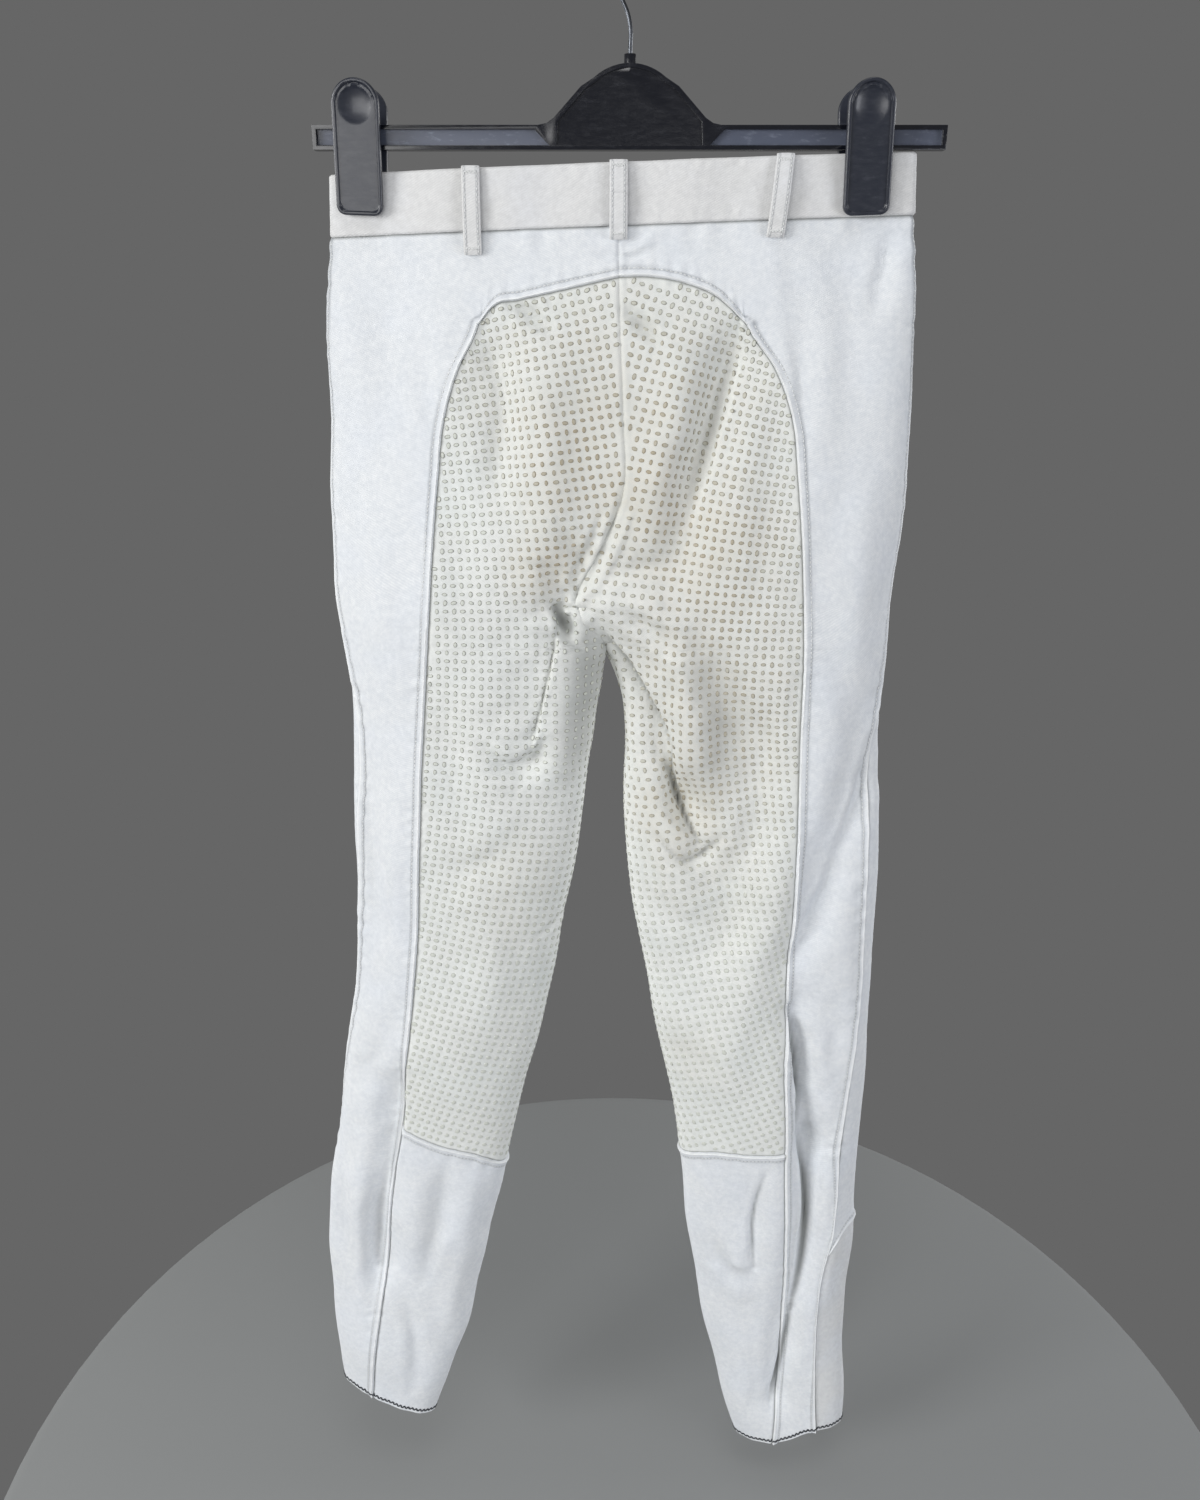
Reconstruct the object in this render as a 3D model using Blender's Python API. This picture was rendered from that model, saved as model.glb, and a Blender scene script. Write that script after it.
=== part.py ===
"""Full-seat riding breeches, clipped by the waistband to a clip hanger.

The frame's origin is the inner top of the hanger's hook, where a rail carries it. +Z is up, the back of
the breeches faces -Y, and the wearer's right is +X. Tables are in millimetres and MM turns them to metres.

The garment is one smooth surface for each half, left and right. A point of it is given by its height and
by its turn about the half's own axis: 180 degrees on the inner leg, 90 at the middle of the back, 0 on
the outside of the leg, -90 at the middle of the front. Above the crotch the two halves meet at the centre
seams. Every cloth piece is a run of cells of its half's grid, made into a wall.
"""
import math
from collections import namedtuple

import bmesh
import bpy
import numpy as np
from mathutils import Matrix, Vector

MM = 0.001

# Cloth
CLOTH = 1.5             # wall of the panels
BAND_CLOTH = 2.3        # wall of the doubled waistband
LOOP_CLOTH = 1.8
SEAM_GAP = 0.3
SQUARENESS = 2.15       # power of the superellipse that every section follows
WAIST_Z = -160.0        # waistband's seam at the centre
CROTCH_Z = -399.0
CROTCH_ROUNDING = 20.0  # height below the crotch over which the inner leg takes its wall's thickness
PARTING_POWER = 2.2     # how late the centre seams sink in on the way to the crotch
ANKLE_SHARE = 0.42      # ankle panel's share of the turn from the side seam to the front inseam
FRONT_INSEAM = 0.8      # front inseam's share of the turn from the outside to the inner leg
FOLD_FLOOR = 4.5        # least half-depth that a trough leaves

# Waistband and belt loops
BAND_HEIGHT = 32.0
BAND_TILT = 0.036       # rise of the waistband for each unit of X
LOOP_WIDTH = 10.0
LOOP_DROP = 9.0         # how far a loop reaches below the waistband
LOOP_BOW = 2.2          # how far it stands off between its stitched ends
FLY_ROWS = 5            # cells of the grid that the fly flap covers, down and across
FLY_COLUMNS = 2
BUTTON_RADIUS = 8.5
BUTTON_THICKNESS = 3.0

# Hanger
BAR_HALF_LENGTH = 173.5
BAR_TOP = -109.5
BAR_BOTTOM = -121.7
BAR_HALF_DEPTH = 4.0
BAR_RIM = 2.2
BAR_RECESS = 2.6
PLATE_TOP = -79.7
PLATE_RECESS = 0.9
COLLAR_TOP = -75.0
COLLAR_RADIUS = 3.2
WIRE_RADIUS = 1.15
HOOK_RADIUS = 21.0      # to the wire's centre line
HOOK_BEND_Z = -62.0
CLIP_WIDTH = 25.4
CLIP_HEIGHT = 67.0
CLIP_WALL = 4.2
CLIP_RIM = 2.0
CLIP_RECESS = 1.2
CLIP_TOP = -88.0
CLIP_LEAN = 6.0         # degrees that each lever opens from its jaw up
THUMB_RADIUS = 9.0
SPRING_WALL = 0.8
SPRING_WIDTH = 9.0

# Half-sections of each half: x of the centre seam or inner leg on the back and on the front, x of the
# outside, and half-depths toward the back and toward the front.
Section = namedtuple("Section", "z inner_back inner_front outer back front")
LEFT_SECTIONS = (
    Section(-120, -6, -5, -165.5, 8, 8),
    Section(-165, -6, -5, -168, 9, 9),
    Section(-210, -5, -6, -172, 14, 12),
    Section(-260, -3, -7, -175, 20, 17),
    Section(-311, -4, -9, -178, 25, 20),
    Section(-340, -17, -11, -178, 27, 21),
    Section(-371, -30, -13, -178, 28, 22),
    Section(-399, -14.4, -14.4, -177, 28, 23),
    Section(-439, -16, -16, -175, 28, 24),
    Section(-486, -24, -24, -176.5, 28, 24),
    Section(-544, -32, -32, -179.5, 28, 24),
    Section(-603, -42, -42, -183, 27, 24),
    Section(-661, -54, -54, -188, 26, 23),
    Section(-731, -72, -72, -201, 24, 22),
    Section(-786, -84, -84, -212, 22, 21),
    Section(-853, -98, -98, -221, 19, 19),
    Section(-951, -119, -119, -224, 16, 16),
    Section(-1003, -138, -138, -222, 13, 13),
    Section(-1050, -152, -152, -214, 12, 12),
)
RIGHT_SECTIONS = (
    Section(-120, -6, -5, 157, 8, 8),
    Section(-165, -6, -5, 160, 9, 9),
    Section(-210, -5, -6, 164.5, 14, 12),
    Section(-260, -3, -7, 167, 20, 17),
    Section(-311, -4, -9, 167, 25, 20),
    Section(-340, -17, -11, 166, 27, 21),
    Section(-371, -30, -13, 164.5, 28, 22),
    Section(-399, -13.6, -13.6, 164, 28, 23),
    Section(-439, -2, -2, 164, 28, 24),
    Section(-486, -1, -1, 166, 28, 24),
    Section(-544, 2, 2, 170, 28, 24),
    Section(-603, 10, 10, 172.5, 27, 24),
    Section(-661, 20, 20, 174, 26, 23),
    Section(-731, 35, 35, 174, 24, 22),
    Section(-786, 42, 42, 174, 22, 21),
    Section(-853, 51, 51, 176, 20, 20),
    Section(-951, 67, 67, 175.5, 17, 17),
    Section(-1014, 81, 81, 178, 15, 15),
    Section(-1080, 97, 97, 184, 14, 14),
)

# Seams that run down the leg: x of the seat seam (the calf seam below the silicone) on the back, and the
# turn of the side seam, which becomes the ankle panel's back edge.
Seam = namedtuple("Seam", "z seat side")
LEFT_SEAMS = (
    Seam(-120, -80, -12),
    Seam(-185, -81, -10),
    Seam(-212, -85, -8),
    Seam(-236, -97, -6),
    Seam(-264, -106, -4),
    Seam(-298, -111, -2),
    Seam(-369, -118, 4),
    Seam(-458, -127, 20),
    Seam(-534, -133, 19),
    Seam(-609, -139, 14),
    Seam(-664, -146, 8),
    Seam(-754, -159, -12),
    Seam(-876, -176, -30),
    Seam(-957, -189, -38),
    Seam(-1050, -201, -45),
)
RIGHT_SEAMS = (
    Seam(-120, 64, -12),
    Seam(-185, 63, -10),
    Seam(-212, 67, -8),
    Seam(-236, 84, -6),
    Seam(-264, 95, -4),
    Seam(-292, 99, -2),
    Seam(-381, 107, -1),
    Seam(-472, 110, 22),
    Seam(-534, 111, 27),
    Seam(-609, 110, 29),
    Seam(-681, 111, 33),
    Seam(-774, 117, 41),
    Seam(-830, 119, 44),
    Seam(-895, 122, 55),
    Seam(-957, 125, 58),
    Seam(-1080, 123, 63),
)

# Lines that run round a half, as heights over x: the top of the silicone, its lower edge, the ankle
# panel's curved top and the hem.
Crossing = namedtuple("Crossing", "x z")
LEFT_ARCH = (Crossing(-85, -212), Crossing(-77, -203), Crossing(-61, -199), Crossing(-33, -193),
             Crossing(-5, -187))
RIGHT_ARCH = (Crossing(-5, -187), Crossing(12, -187), Crossing(34, -191), Crossing(49, -197),
              Crossing(67, -212))
LEFT_CUFF = (Crossing(-159, -754), Crossing(-131, -769), Crossing(-104, -780), Crossing(-86, -794))
RIGHT_CUFF = (Crossing(42, -785), Crossing(63, -777), Crossing(92, -776), Crossing(117, -776))
LEFT_ANKLE = (Crossing(-222, -846), Crossing(-211, -852), Crossing(-200, -864), Crossing(-190, -884))
RIGHT_ANKLE = (Crossing(150, -882), Crossing(156, -864), Crossing(165, -852), Crossing(175, -846))
LEFT_HEM = (Crossing(-222, -1006), Crossing(-198, -1018), Crossing(-176, -1029), Crossing(-150, -1042))
RIGHT_HEM = (Crossing(92, -1065), Crossing(122, -1066), Crossing(157, -1053), Crossing(181, -1052))

# The largest folds, straight lines on the back or on the front; a negative depth is a trough.
Fold = namedtuple("Fold", "x0 z0 x1 z1 width depth")
BACK_FOLDS = (
    Fold(-150, -110, -149, -172, 28, -4.0),     # pressed flat by the clips
    Fold(132, -110, 131, -165, 28, -4.0),
    Fold(-78, -236, -76, -292, 12, -5),         # left of the seat
    Fold(60, -240, 35, -328, 14, -8),           # across the right buttock
    Fold(-40, -375, -60, -470, 11, -8),         # left dart, down to its nose
    Fold(4, -425, 36, -500, 13, -12),           # right dart
    Fold(36, -500, 50, -540, 12, -10),
    Fold(84, -460, 62, -590, 24, -8),           # hollow of the right thigh
    Fold(160, -450, 114, -610, 17, -6),         # slanting fold of the right outer panel
    Fold(-168, -725, -180, -880, 14, -8),       # hollow along the left calf seam
    Fold(118, -655, 136, -770, 12, -9),         # long fold down the right lower leg
    Fold(136, -770, 124, -1015, 12, -9),
    Fold(-30, -345, 25, -352, 12, -4),          # hollow above the crotch
    Fold(-44, -250, -52, -345, 16, 4),
    Fold(98, -560, 70, -700, 18, 5),
)
FRONT_FOLDS = (
    Fold(-150, -110, -149, -172, 28, -4.0),
    Fold(132, -110, 131, -165, 28, -4.0),
    Fold(-90, -215, -70, -330, 15, -5),
    Fold(85, -215, 62, -330, 15, -5),
    Fold(-35, -400, -110, -500, 14, -6),
    Fold(25, -410, 95, -510, 14, -6),
    Fold(-95, -640, -150, -740, 15, -6),
    Fold(75, -640, 130, -740, 15, -6),
    Fold(-150, -820, -175, -990, 13, -5),
    Fold(105, -830, 125, -1010, 13, -5),
)

# Grid: cells round a half between its seams, and cells down it between its crossings.
GridRun = namedtuple("GridRun", "name cells")
COLUMN_RUNS = (GridRun("seat", 8), GridRun("outer", 5), GridRun("ankle", 4), GridRun("front", 6),
               GridRun("inner", 3))
ROW_RUNS = (GridRun("yoke", 2), GridRun("seat", 6), GridRun("thigh", 11), GridRun("calf", 3),
            GridRun("hem", 5))

# Materials: colour, roughness and metallic value.
Finish = namedtuple("Finish", "color roughness metallic")
WHITE_CLOTH = Finish((0.72, 0.76, 0.79), 0.9, 0.0)
SILICONE_CLOTH = Finish((0.70, 0.72, 0.66), 0.6, 0.0)
ELASTIC_CLOTH = Finish((0.68, 0.70, 0.71), 0.85, 0.0)
BLACK_PLASTIC = Finish((0.012, 0.013, 0.02), 0.25, 0.0)
BUTTON_PLASTIC = Finish((0.75, 0.74, 0.70), 0.35, 0.0)
SPRING_STEEL = Finish((0.45, 0.46, 0.48), 0.35, 1.0)


def starts(runs):
    """Grid line where each run begins, by name, with the last line as 'end'."""
    lines = {}
    count = 0
    for run in runs:
        lines[run.name] = count
        count += run.cells
    lines["end"] = count
    return lines


COLUMN = starts(COLUMN_RUNS)
ROW = starts(ROW_RUNS)


def curve_through(rows, key, column):
    """Smooth function through a table's points, held constant past its ends."""
    ordered = sorted(rows, key=lambda row: getattr(row, key))
    at = np.array([getattr(row, key) for row in ordered], float)
    values = np.array([getattr(row, column) for row in ordered], float)
    slopes = np.gradient(values, at)

    def value(where):
        where = np.clip(where, at[0], at[-1])
        low = np.clip(np.searchsorted(at, where) - 1, 0, len(at) - 2)
        span = at[low + 1] - at[low]
        t = (where - at[low]) / span
        rise = values[low + 1] - values[low]
        bend_in = slopes[low] * span - rise
        bend_out = rise - slopes[low + 1] * span
        return values[low] + t * rise + t * (1 - t) * ((1 - t) * bend_in + t * bend_out)

    return value


def fold_depth(folds, x, z):
    """Sum of the folds' soft troughs and ridges at points of the flat drawing."""
    total = np.zeros(np.broadcast(x, z).shape)
    for fold in folds:
        run = np.array((fold.x1 - fold.x0, fold.z1 - fold.z0))
        length = np.hypot(*run)
        along = ((x - fold.x0) * run[0] + (z - fold.z0) * run[1]) / length
        across = ((x - fold.x0) * run[1] - (z - fold.z0) * run[0]) / length
        past_end = np.maximum(np.maximum(-along, along - length), 0.0)
        total += fold.depth * np.exp(-(across / fold.width) ** 2 - (past_end / (1.5 * fold.width)) ** 2)
    return total


def directions(points, axis):
    """Direction along a grid's axis at each point: halfway between the edges that meet there."""
    edges = np.diff(points, axis=axis)
    edges /= np.linalg.norm(edges, axis=-1, keepdims=True)
    first = np.take(edges, [0], axis=axis)
    last = np.take(edges, [-1], axis=axis)
    return np.concatenate((first, edges), axis=axis) + np.concatenate((edges, last), axis=axis)


def signed_power(value, power):
    return np.sign(value) * np.abs(value) ** power


class Half:
    """One half of the breeches: a surface, and the grid that its panels are cut from."""

    def __init__(self, name, side, sections, seams, lines):
        self.name = name
        self.side = side
        self.curve = {key: curve_through(sections, "z", key) for key in Section._fields[1:]}
        self.seat_x = curve_through(seams, "z", "seat")
        self.side_turn = curve_through(seams, "z", "side")
        self.lines = [curve_through(line, "x", "z") for line in lines]
        self.points = self.grid()
        self.normals = self.grid_normals()

    def parting(self, z):
        """0 at the waist, where one oval goes round both halves, and 1 where the legs have parted."""
        depth = (WAIST_Z - z) / (WAIST_Z - CROTCH_Z)
        return np.clip(depth, 0.0, 1.0) ** PARTING_POWER

    def start_turn(self, z):
        """Turn of the centre seam above the crotch, and of the inner leg, 180 degrees, below it."""
        return np.degrees(np.arccos(-(self.parting(z) ** (SQUARENESS / 2))))

    def spread(self, turn, z):
        """Signed x of the half's own axis and half-width at a turn and height."""
        inner = np.where(turn >= 0, self.curve["inner_back"](z), self.curve["inner_front"](z))
        outer = self.curve["outer"](z) - self.side * CLOTH
        inner = inner + self.side * CLOTH * np.clip((CROTCH_Z - z) / CROTCH_ROUNDING, 0.0, 1.0)
        half_width = (outer - inner) / (1 + self.parting(z))
        return inner + self.parting(z) * half_width, half_width

    def surface(self, turn, z):
        """Point of the half's inner face, in millimetres."""
        axis_x, half_width = self.spread(turn, z)
        angle = np.radians(turn)
        power = 2 / SQUARENESS
        x = axis_x + half_width * signed_power(np.cos(angle), power)
        back = self.curve["back"](z) + fold_depth(BACK_FOLDS, x, z)
        front = self.curve["front"](z) + fold_depth(FRONT_FOLDS, x, z)
        depth = np.maximum(np.where(turn >= 0, back, front), FOLD_FLOOR)
        y = -depth * signed_power(np.sin(angle), power)
        return np.stack(np.broadcast_arrays(x, y, z), axis=-1)

    def seat_turn(self, z):
        """Turn of the seat seam, from its x on the back."""
        axis_x, half_width = self.spread(np.full_like(z, 90.0), z)
        share = np.clip((self.seat_x(z) - axis_x) / half_width, -0.98, 0.98)
        return np.degrees(np.arccos(signed_power(share, SQUARENESS / 2)))

    def column_turns(self, z):
        """Turn of every grid column, where row r of z gives the columns' heights."""
        start = self.start_turn(z)
        side = self.side_turn(z)
        inseam = -FRONT_INSEAM * start
        ankle = side + ANKLE_SHARE * (inseam - side)
        knots = np.stack((start, self.seat_turn(z), side, ankle, inseam, -start))
        turns = np.empty_like(z)
        column = 0
        for knot, run in enumerate(COLUMN_RUNS):
            for step in range(run.cells):
                share = step / run.cells
                turns[:, column] = ((1 - share) * knots[knot] + share * knots[knot + 1])[:, column]
                column += 1
        turns[:, column] = knots[-1][:, column]
        return turns

    def line_heights(self, line, guess):
        """Heights at which the columns cross a line that is drawn over x."""
        z = np.full((1, COLUMN["end"] + 1), float(guess))
        for _ in range(12):
            x = self.surface(self.column_turns(z), z)[..., 0]
            z = 0.5 * z + 0.5 * line(x)
        return z[0]

    def grid(self):
        """Grid of surface points, rows from the waistband's seam to the hem."""
        arch, cuff, ankle, hem = self.lines
        crossings = (
            self.line_heights(lambda x: WAIST_Z + BAND_TILT * x, WAIST_Z),
            self.line_heights(arch, -200),
            np.full(COLUMN["end"] + 1, CROTCH_Z),
            self.line_heights(cuff, -780),
            self.line_heights(ankle, -870),
            self.line_heights(hem, -1040),
        )
        rows = []
        for crossing, run in enumerate(ROW_RUNS):
            for step in range(run.cells):
                share = step / run.cells
                rows.append((1 - share) * crossings[crossing] + share * crossings[crossing + 1])
        rows.append(crossings[-1])
        z = np.array(rows)
        return self.surface(self.column_turns(z), z)

    def grid_normals(self):
        """Outward unit normals of the grid, turned into the plane of the seam at the centre and waist."""
        down = directions(self.points, 0)
        round_ = directions(self.points, 1)
        leg = slice(ROW["thigh"], None)
        round_[leg, 0] += round_[leg, -1]
        round_[leg, -1] = round_[leg, 0]
        normals = self.side * np.cross(down, round_)
        for column in (0, -1):
            normals[:ROW["thigh"] + 1, column, 0] = 0.0
        normals[ROW["thigh"], [0, -1]] = (0.0, 0.0, -1.0)
        normals[0, :, 2] = 0.0
        return normals / np.linalg.norm(normals, axis=-1, keepdims=True)


def block(row_run, row_end, column_run, column_end):
    """Cells of a grid between two row lines and two column lines."""
    return [(row, column) for row in range(row_run, row_end) for column in range(column_run, column_end)]


def shared_vertices(row, column, closed_from):
    """Name of a grid vertex; from the crotch down the first and last columns are one line."""
    last = COLUMN["end"]
    if column == last and row >= closed_from:
        return (row, 0)
    return (row, column)


def edge_pulls(faces, points, normals):
    """Shift that takes each edge vertex half a seam gap into its own piece."""
    edges = {}
    for face in faces:
        for a, b in zip(face, face[1:] + face[:1]):
            edges[(a, b)] = True
    pulls = {}
    for a, b in edges:
        if (b, a) in edges:
            continue
        for vertex in (a, b):
            inward = np.cross(normals[vertex], points[b] - points[a])
            pulls.setdefault(vertex, []).append(inward / np.linalg.norm(inward))
    shifts = {}
    for vertex, inward in pulls.items():
        first, second = inward[0], inward[-1]
        shifts[vertex] = SEAM_GAP / 2 * (first + second) / max(1 + first @ second, 0.3)
    boundary = [edge for edge in edges if (edge[1], edge[0]) not in edges]
    return shifts, boundary


def wall_mesh(name, faces, points, normals, lift, wall):
    """Closed wall on a sheet of triangles: lifted off it, as thick as wall, pulled in at its edges.

    Both pieces at a seam split its side faces on the same diagonal, so that twisted ones keep their gap.
    """
    shifts, boundary = edge_pulls(faces, points, normals)
    names = list(points)
    index = {vertex: number for number, vertex in enumerate(names)}
    inner = [points[v] + normals[v] * lift + shifts.get(v, 0.0) for v in names]
    outer = [points[v] + normals[v] * (lift + wall) + shifts.get(v, 0.0) for v in names]
    count = len(names)
    triangles = [[index[v] + count for v in face] for face in faces]
    triangles += [[index[v] for v in reversed(face)] for face in faces]
    for a, b in boundary:
        low_a, low_b = index[a], index[b]
        high_a, high_b = low_a + count, low_b + count
        if a < b:
            triangles += [[low_a, low_b, high_b], [low_a, high_b, high_a]]
        else:
            triangles += [[low_a, low_b, high_a], [low_b, high_b, high_a]]
    mesh = bpy.data.meshes.new(name)
    mesh.from_pydata([tuple(np.array(p) * MM) for p in inner + outer], [], triangles)
    mesh.update()
    return mesh


def split_quads(quads, flip):
    """Two triangles for each quad, always on the same diagonal; flip turns them over."""
    faces = []
    for a, b, c, d in quads:
        for face in ((a, b, c), (a, c, d)):
            if len(set(face)) == 3:
                faces.append(tuple(reversed(face)) if flip else face)
    return faces


def cloth_piece(name, half, cells, finish, lift=0.0, wall=CLOTH, closed_from=None):
    """A panel: cells of a half's grid made into a wall."""
    closed_from = ROW["thigh"] if closed_from is None else closed_from
    quads = []
    points = {}
    normals = {}
    for row, column in cells:
        corners = ((row, column), (row, column + 1), (row + 1, column + 1), (row + 1, column))
        quad = []
        for corner in corners:
            vertex = shared_vertices(*corner, closed_from)
            points[vertex] = half.points[corner]
            normals[vertex] = half.normals[vertex]
            quad.append(vertex)
        quads.append(quad)
    faces = split_quads(quads, half.side > 0)
    return add_object(name, wall_mesh(name, faces, points, normals, lift, wall), finish)


def add_object(name, mesh, finish):
    """Object in the breeches' collection, with a material of its own."""
    material = bpy.data.materials.new(name + "_finish")
    material.use_nodes = True
    shader = material.node_tree.nodes["Principled BSDF"]
    shader.inputs["Base Color"].default_value = (*finish.color, 1.0)
    shader.inputs["Roughness"].default_value = finish.roughness
    shader.inputs["Metallic"].default_value = finish.metallic
    mesh.materials.append(material)
    obj = bpy.data.objects.new(name, mesh)
    bpy.data.collections["riding_breeches"].objects.link(obj)
    return obj


def panels(half):
    """The cut pieces of one half."""
    seat, outer, ankle = COLUMN["seat"], COLUMN["outer"], COLUMN["ankle"]
    front, inner, end = COLUMN["front"], COLUMN["inner"], COLUMN["end"]
    yoke = block(ROW["yoke"], ROW["seat"], seat, outer)
    outside = block(ROW["yoke"], ROW["end"], outer, ankle)
    cloth_piece(half.name + "_back_panel", half, yoke + outside, WHITE_CLOTH)
    behind = block(ROW["seat"], ROW["calf"], seat, outer)
    inner_leg = block(ROW["thigh"], ROW["calf"], inner, end)
    cloth_piece(half.name + "_silicone_seat", half, behind + inner_leg, SILICONE_CLOTH)
    calf = block(ROW["calf"], ROW["end"], seat, outer) + block(ROW["calf"], ROW["end"], inner, end)
    cloth_piece(half.name + "_calf_panel", half, calf, WHITE_CLOTH)
    above = block(ROW["yoke"], ROW["hem"], ankle, front)
    rest = block(ROW["yoke"], ROW["end"], front, inner) + block(ROW["yoke"], ROW["thigh"], inner, end)
    cloth_piece(half.name + "_front_panel", half, above + rest, WHITE_CLOTH)
    cuff = block(ROW["hem"], ROW["end"], ankle, front)
    cloth_piece(half.name + "_ankle_panel", half, cuff, ELASTIC_CLOTH)


class Band:
    """The waistband's surface: the halves' top rows carried on upward, from centre front round to it."""

    ROWS = 3

    def __init__(self, halves):
        strips = []
        for half in halves:
            top = half.line_heights(lambda x: WAIST_Z + BAND_TILT * x + BAND_HEIGHT, WAIST_Z)
            seam = half.points[0, :, 2]
            z = np.array([top + (seam - top) * row / self.ROWS for row in range(self.ROWS + 1)])
            strips.append(half.surface(half.column_turns(z), z))
        left, right = strips
        self.points = np.concatenate((left[:, ::-1], right[:, 1:]), axis=1)
        normals = np.cross(directions(self.points, 0), directions(self.points, 1))
        normals[:, [0, -1], 0] = 0.0
        normals[-1, :, 2] = 0.0
        self.normals = normals / np.linalg.norm(normals, axis=-1, keepdims=True)

    def at(self, x, z, back=True):
        """Point and normal of the band's surface, carried on below it, at x on the back or the front."""
        side = -1.0 if back else 1.0
        rows = self.points[0]
        keep = rows[:, 1] * side > 0
        order = np.argsort(rows[keep, 0])
        y = [np.interp(x, row[keep][order, 0], row[keep][order, 1]) for row in self.points]
        heights = [np.interp(x, row[keep][order, 0], row[keep][order, 2]) for row in self.points]
        return np.array((x, np.interp(z, heights[::-1], y[::-1]), z))


def waistband(band):
    """One long strip from the centre front, round the back, to the centre front."""
    rows, columns = band.points.shape[:2]
    quads = []
    for row in range(rows - 1):
        for column in range(columns - 1):
            quads.append([(row, column), (row, column + 1), (row + 1, column + 1), (row + 1, column)])
    points = {(r, c): band.points[r, c] for r in range(rows) for c in range(columns)}
    normals = {(r, c): band.normals[r, c] for r in range(rows) for c in range(columns)}
    mesh = wall_mesh("waistband", split_quads(quads, True), points, normals, 0.0, BAND_CLOTH)
    return add_object("waistband", mesh, WHITE_CLOTH)


def belt_loop(name, band, x, back, lean=0.0, bow=LOOP_BOW, drop=LOOP_DROP):
    """Strip stitched at the waistband's top and below its seam, standing off between."""
    outward = -1.0 if back else 1.0
    top = WAIST_Z + BAND_TILT * x + BAND_HEIGHT
    bottom = top - BAND_HEIGHT - drop
    stations = 7
    quads = []
    points = {}
    normals = {}
    for row in range(stations):
        share = row / (stations - 1)
        z = top + (bottom - top) * share
        off = BAND_CLOTH + SEAM_GAP + 0.35 + bow * math.sin(math.pi * share) ** 0.7
        for column in range(2):
            across = (column - 0.5) * LOOP_WIDTH
            place = band.at(x + across + lean * (0.5 - share), max(z, bottom), back)
            points[row, column] = place + np.array((0.0, outward * off, 0.0))
            normals[row, column] = np.array((0.0, outward, 0.0))
        if row:
            quads.append([(row - 1, 0), (row - 1, 1), (row, 1), (row, 0)])
    faces = split_quads(quads, back)
    return add_object(name, wall_mesh(name, faces, points, normals, 0.0, LOOP_CLOTH), WHITE_CLOTH)


def fly_flap(half):
    """Strip over the centre front, on the front panel's own points."""
    cells = block(ROW["yoke"], ROW["yoke"] + FLY_ROWS, COLUMN["end"] - FLY_COLUMNS, COLUMN["end"])
    lift = CLOTH + SEAM_GAP
    return cloth_piece("fly_flap", half, cells, WHITE_CLOTH, lift, CLOTH)


def mesh_from_bmesh(name, model):
    bmesh.ops.recalc_face_normals(model, faces=model.faces)
    mesh = bpy.data.meshes.new(name)
    model.to_mesh(mesh)
    model.free()
    return mesh


def waist_button(band):
    """Flat disc on the front of the waistband."""
    x = 12.0
    z = WAIST_Z + BAND_HEIGHT / 2
    place = band.at(x, z, back=False)
    model = bmesh.new()
    bmesh.ops.create_cone(model, cap_ends=True, segments=24, radius1=BUTTON_RADIUS * MM,
                          radius2=BUTTON_RADIUS * MM, depth=BUTTON_THICKNESS * MM)
    off = BAND_CLOTH + SEAM_GAP + 0.3 + BUTTON_THICKNESS / 2
    centre = Vector((place[0], place[1] + off, place[2])) * MM
    bmesh.ops.transform(model, matrix=Matrix.Translation(centre) @ Matrix.Rotation(math.pi / 2, 4, "X"),
                        verts=model.verts)
    return add_object("waist_button", mesh_from_bmesh("waist_button", model), BUTTON_PLASTIC)


def prism(name, outline, half_depth, middle=0.0):
    """Closed mesh of an outline in the XZ plane, as deep as twice half_depth about y = middle."""
    model = bmesh.new()
    bottom = [model.verts.new(Vector((x, middle - half_depth, z)) * MM) for x, z in outline]
    face = model.faces.new(bottom)
    grown = bmesh.ops.extrude_face_region(model, geom=[face])
    verts = [item for item in grown["geom"] if isinstance(item, bmesh.types.BMVert)]
    bmesh.ops.translate(model, verts=verts, vec=Vector((0.0, 2 * half_depth * MM, 0.0)))
    bmesh.ops.triangulate(model, faces=[f for f in model.faces if len(f.verts) > 4])
    return mesh_from_bmesh(name, model)


def cutter(name, mesh):
    """Mesh that cuts another piece, left out of the part."""
    obj = bpy.data.objects.new(name, mesh)
    obj.hide_render = True
    obj.display_type = "WIRE"
    bpy.data.collections["cutters"].objects.link(obj)
    return obj


def cut(obj, tools, operation="DIFFERENCE"):
    for tool in tools:
        boolean = obj.modifiers.new(tool.name, "BOOLEAN")
        boolean.operation = operation
        boolean.object = tool


def arc(centre_x, centre_z, radius, first, last, steps):
    """Points on an arc in the XZ plane, with angles in degrees from +X toward +Z."""
    angles = [math.radians(first + (last - first) * step / steps) for step in range(steps + 1)]
    return [(centre_x + radius * math.cos(a), centre_z + radius * math.sin(a)) for a in angles]


def bell_half(inset):
    """Right half of the centre plate's bell, from its foot up to its round top."""
    foot = (50.0 - inset * 1.2, BAR_TOP - inset * 0.4)
    fillet = [(45.5 - inset, BAR_TOP + 0.9 - inset * 0.6), (41.5 - inset, BAR_TOP + 3.4 - inset * 0.8)]
    shoulder = [(26.5 - inset * 0.8, -90.8 - inset * 0.8)]
    top = arc(0.0, -110.5, 110.5 + PLATE_TOP - inset, 51, 90, 7)
    return [foot, *fillet, *shoulder, *top]


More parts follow.
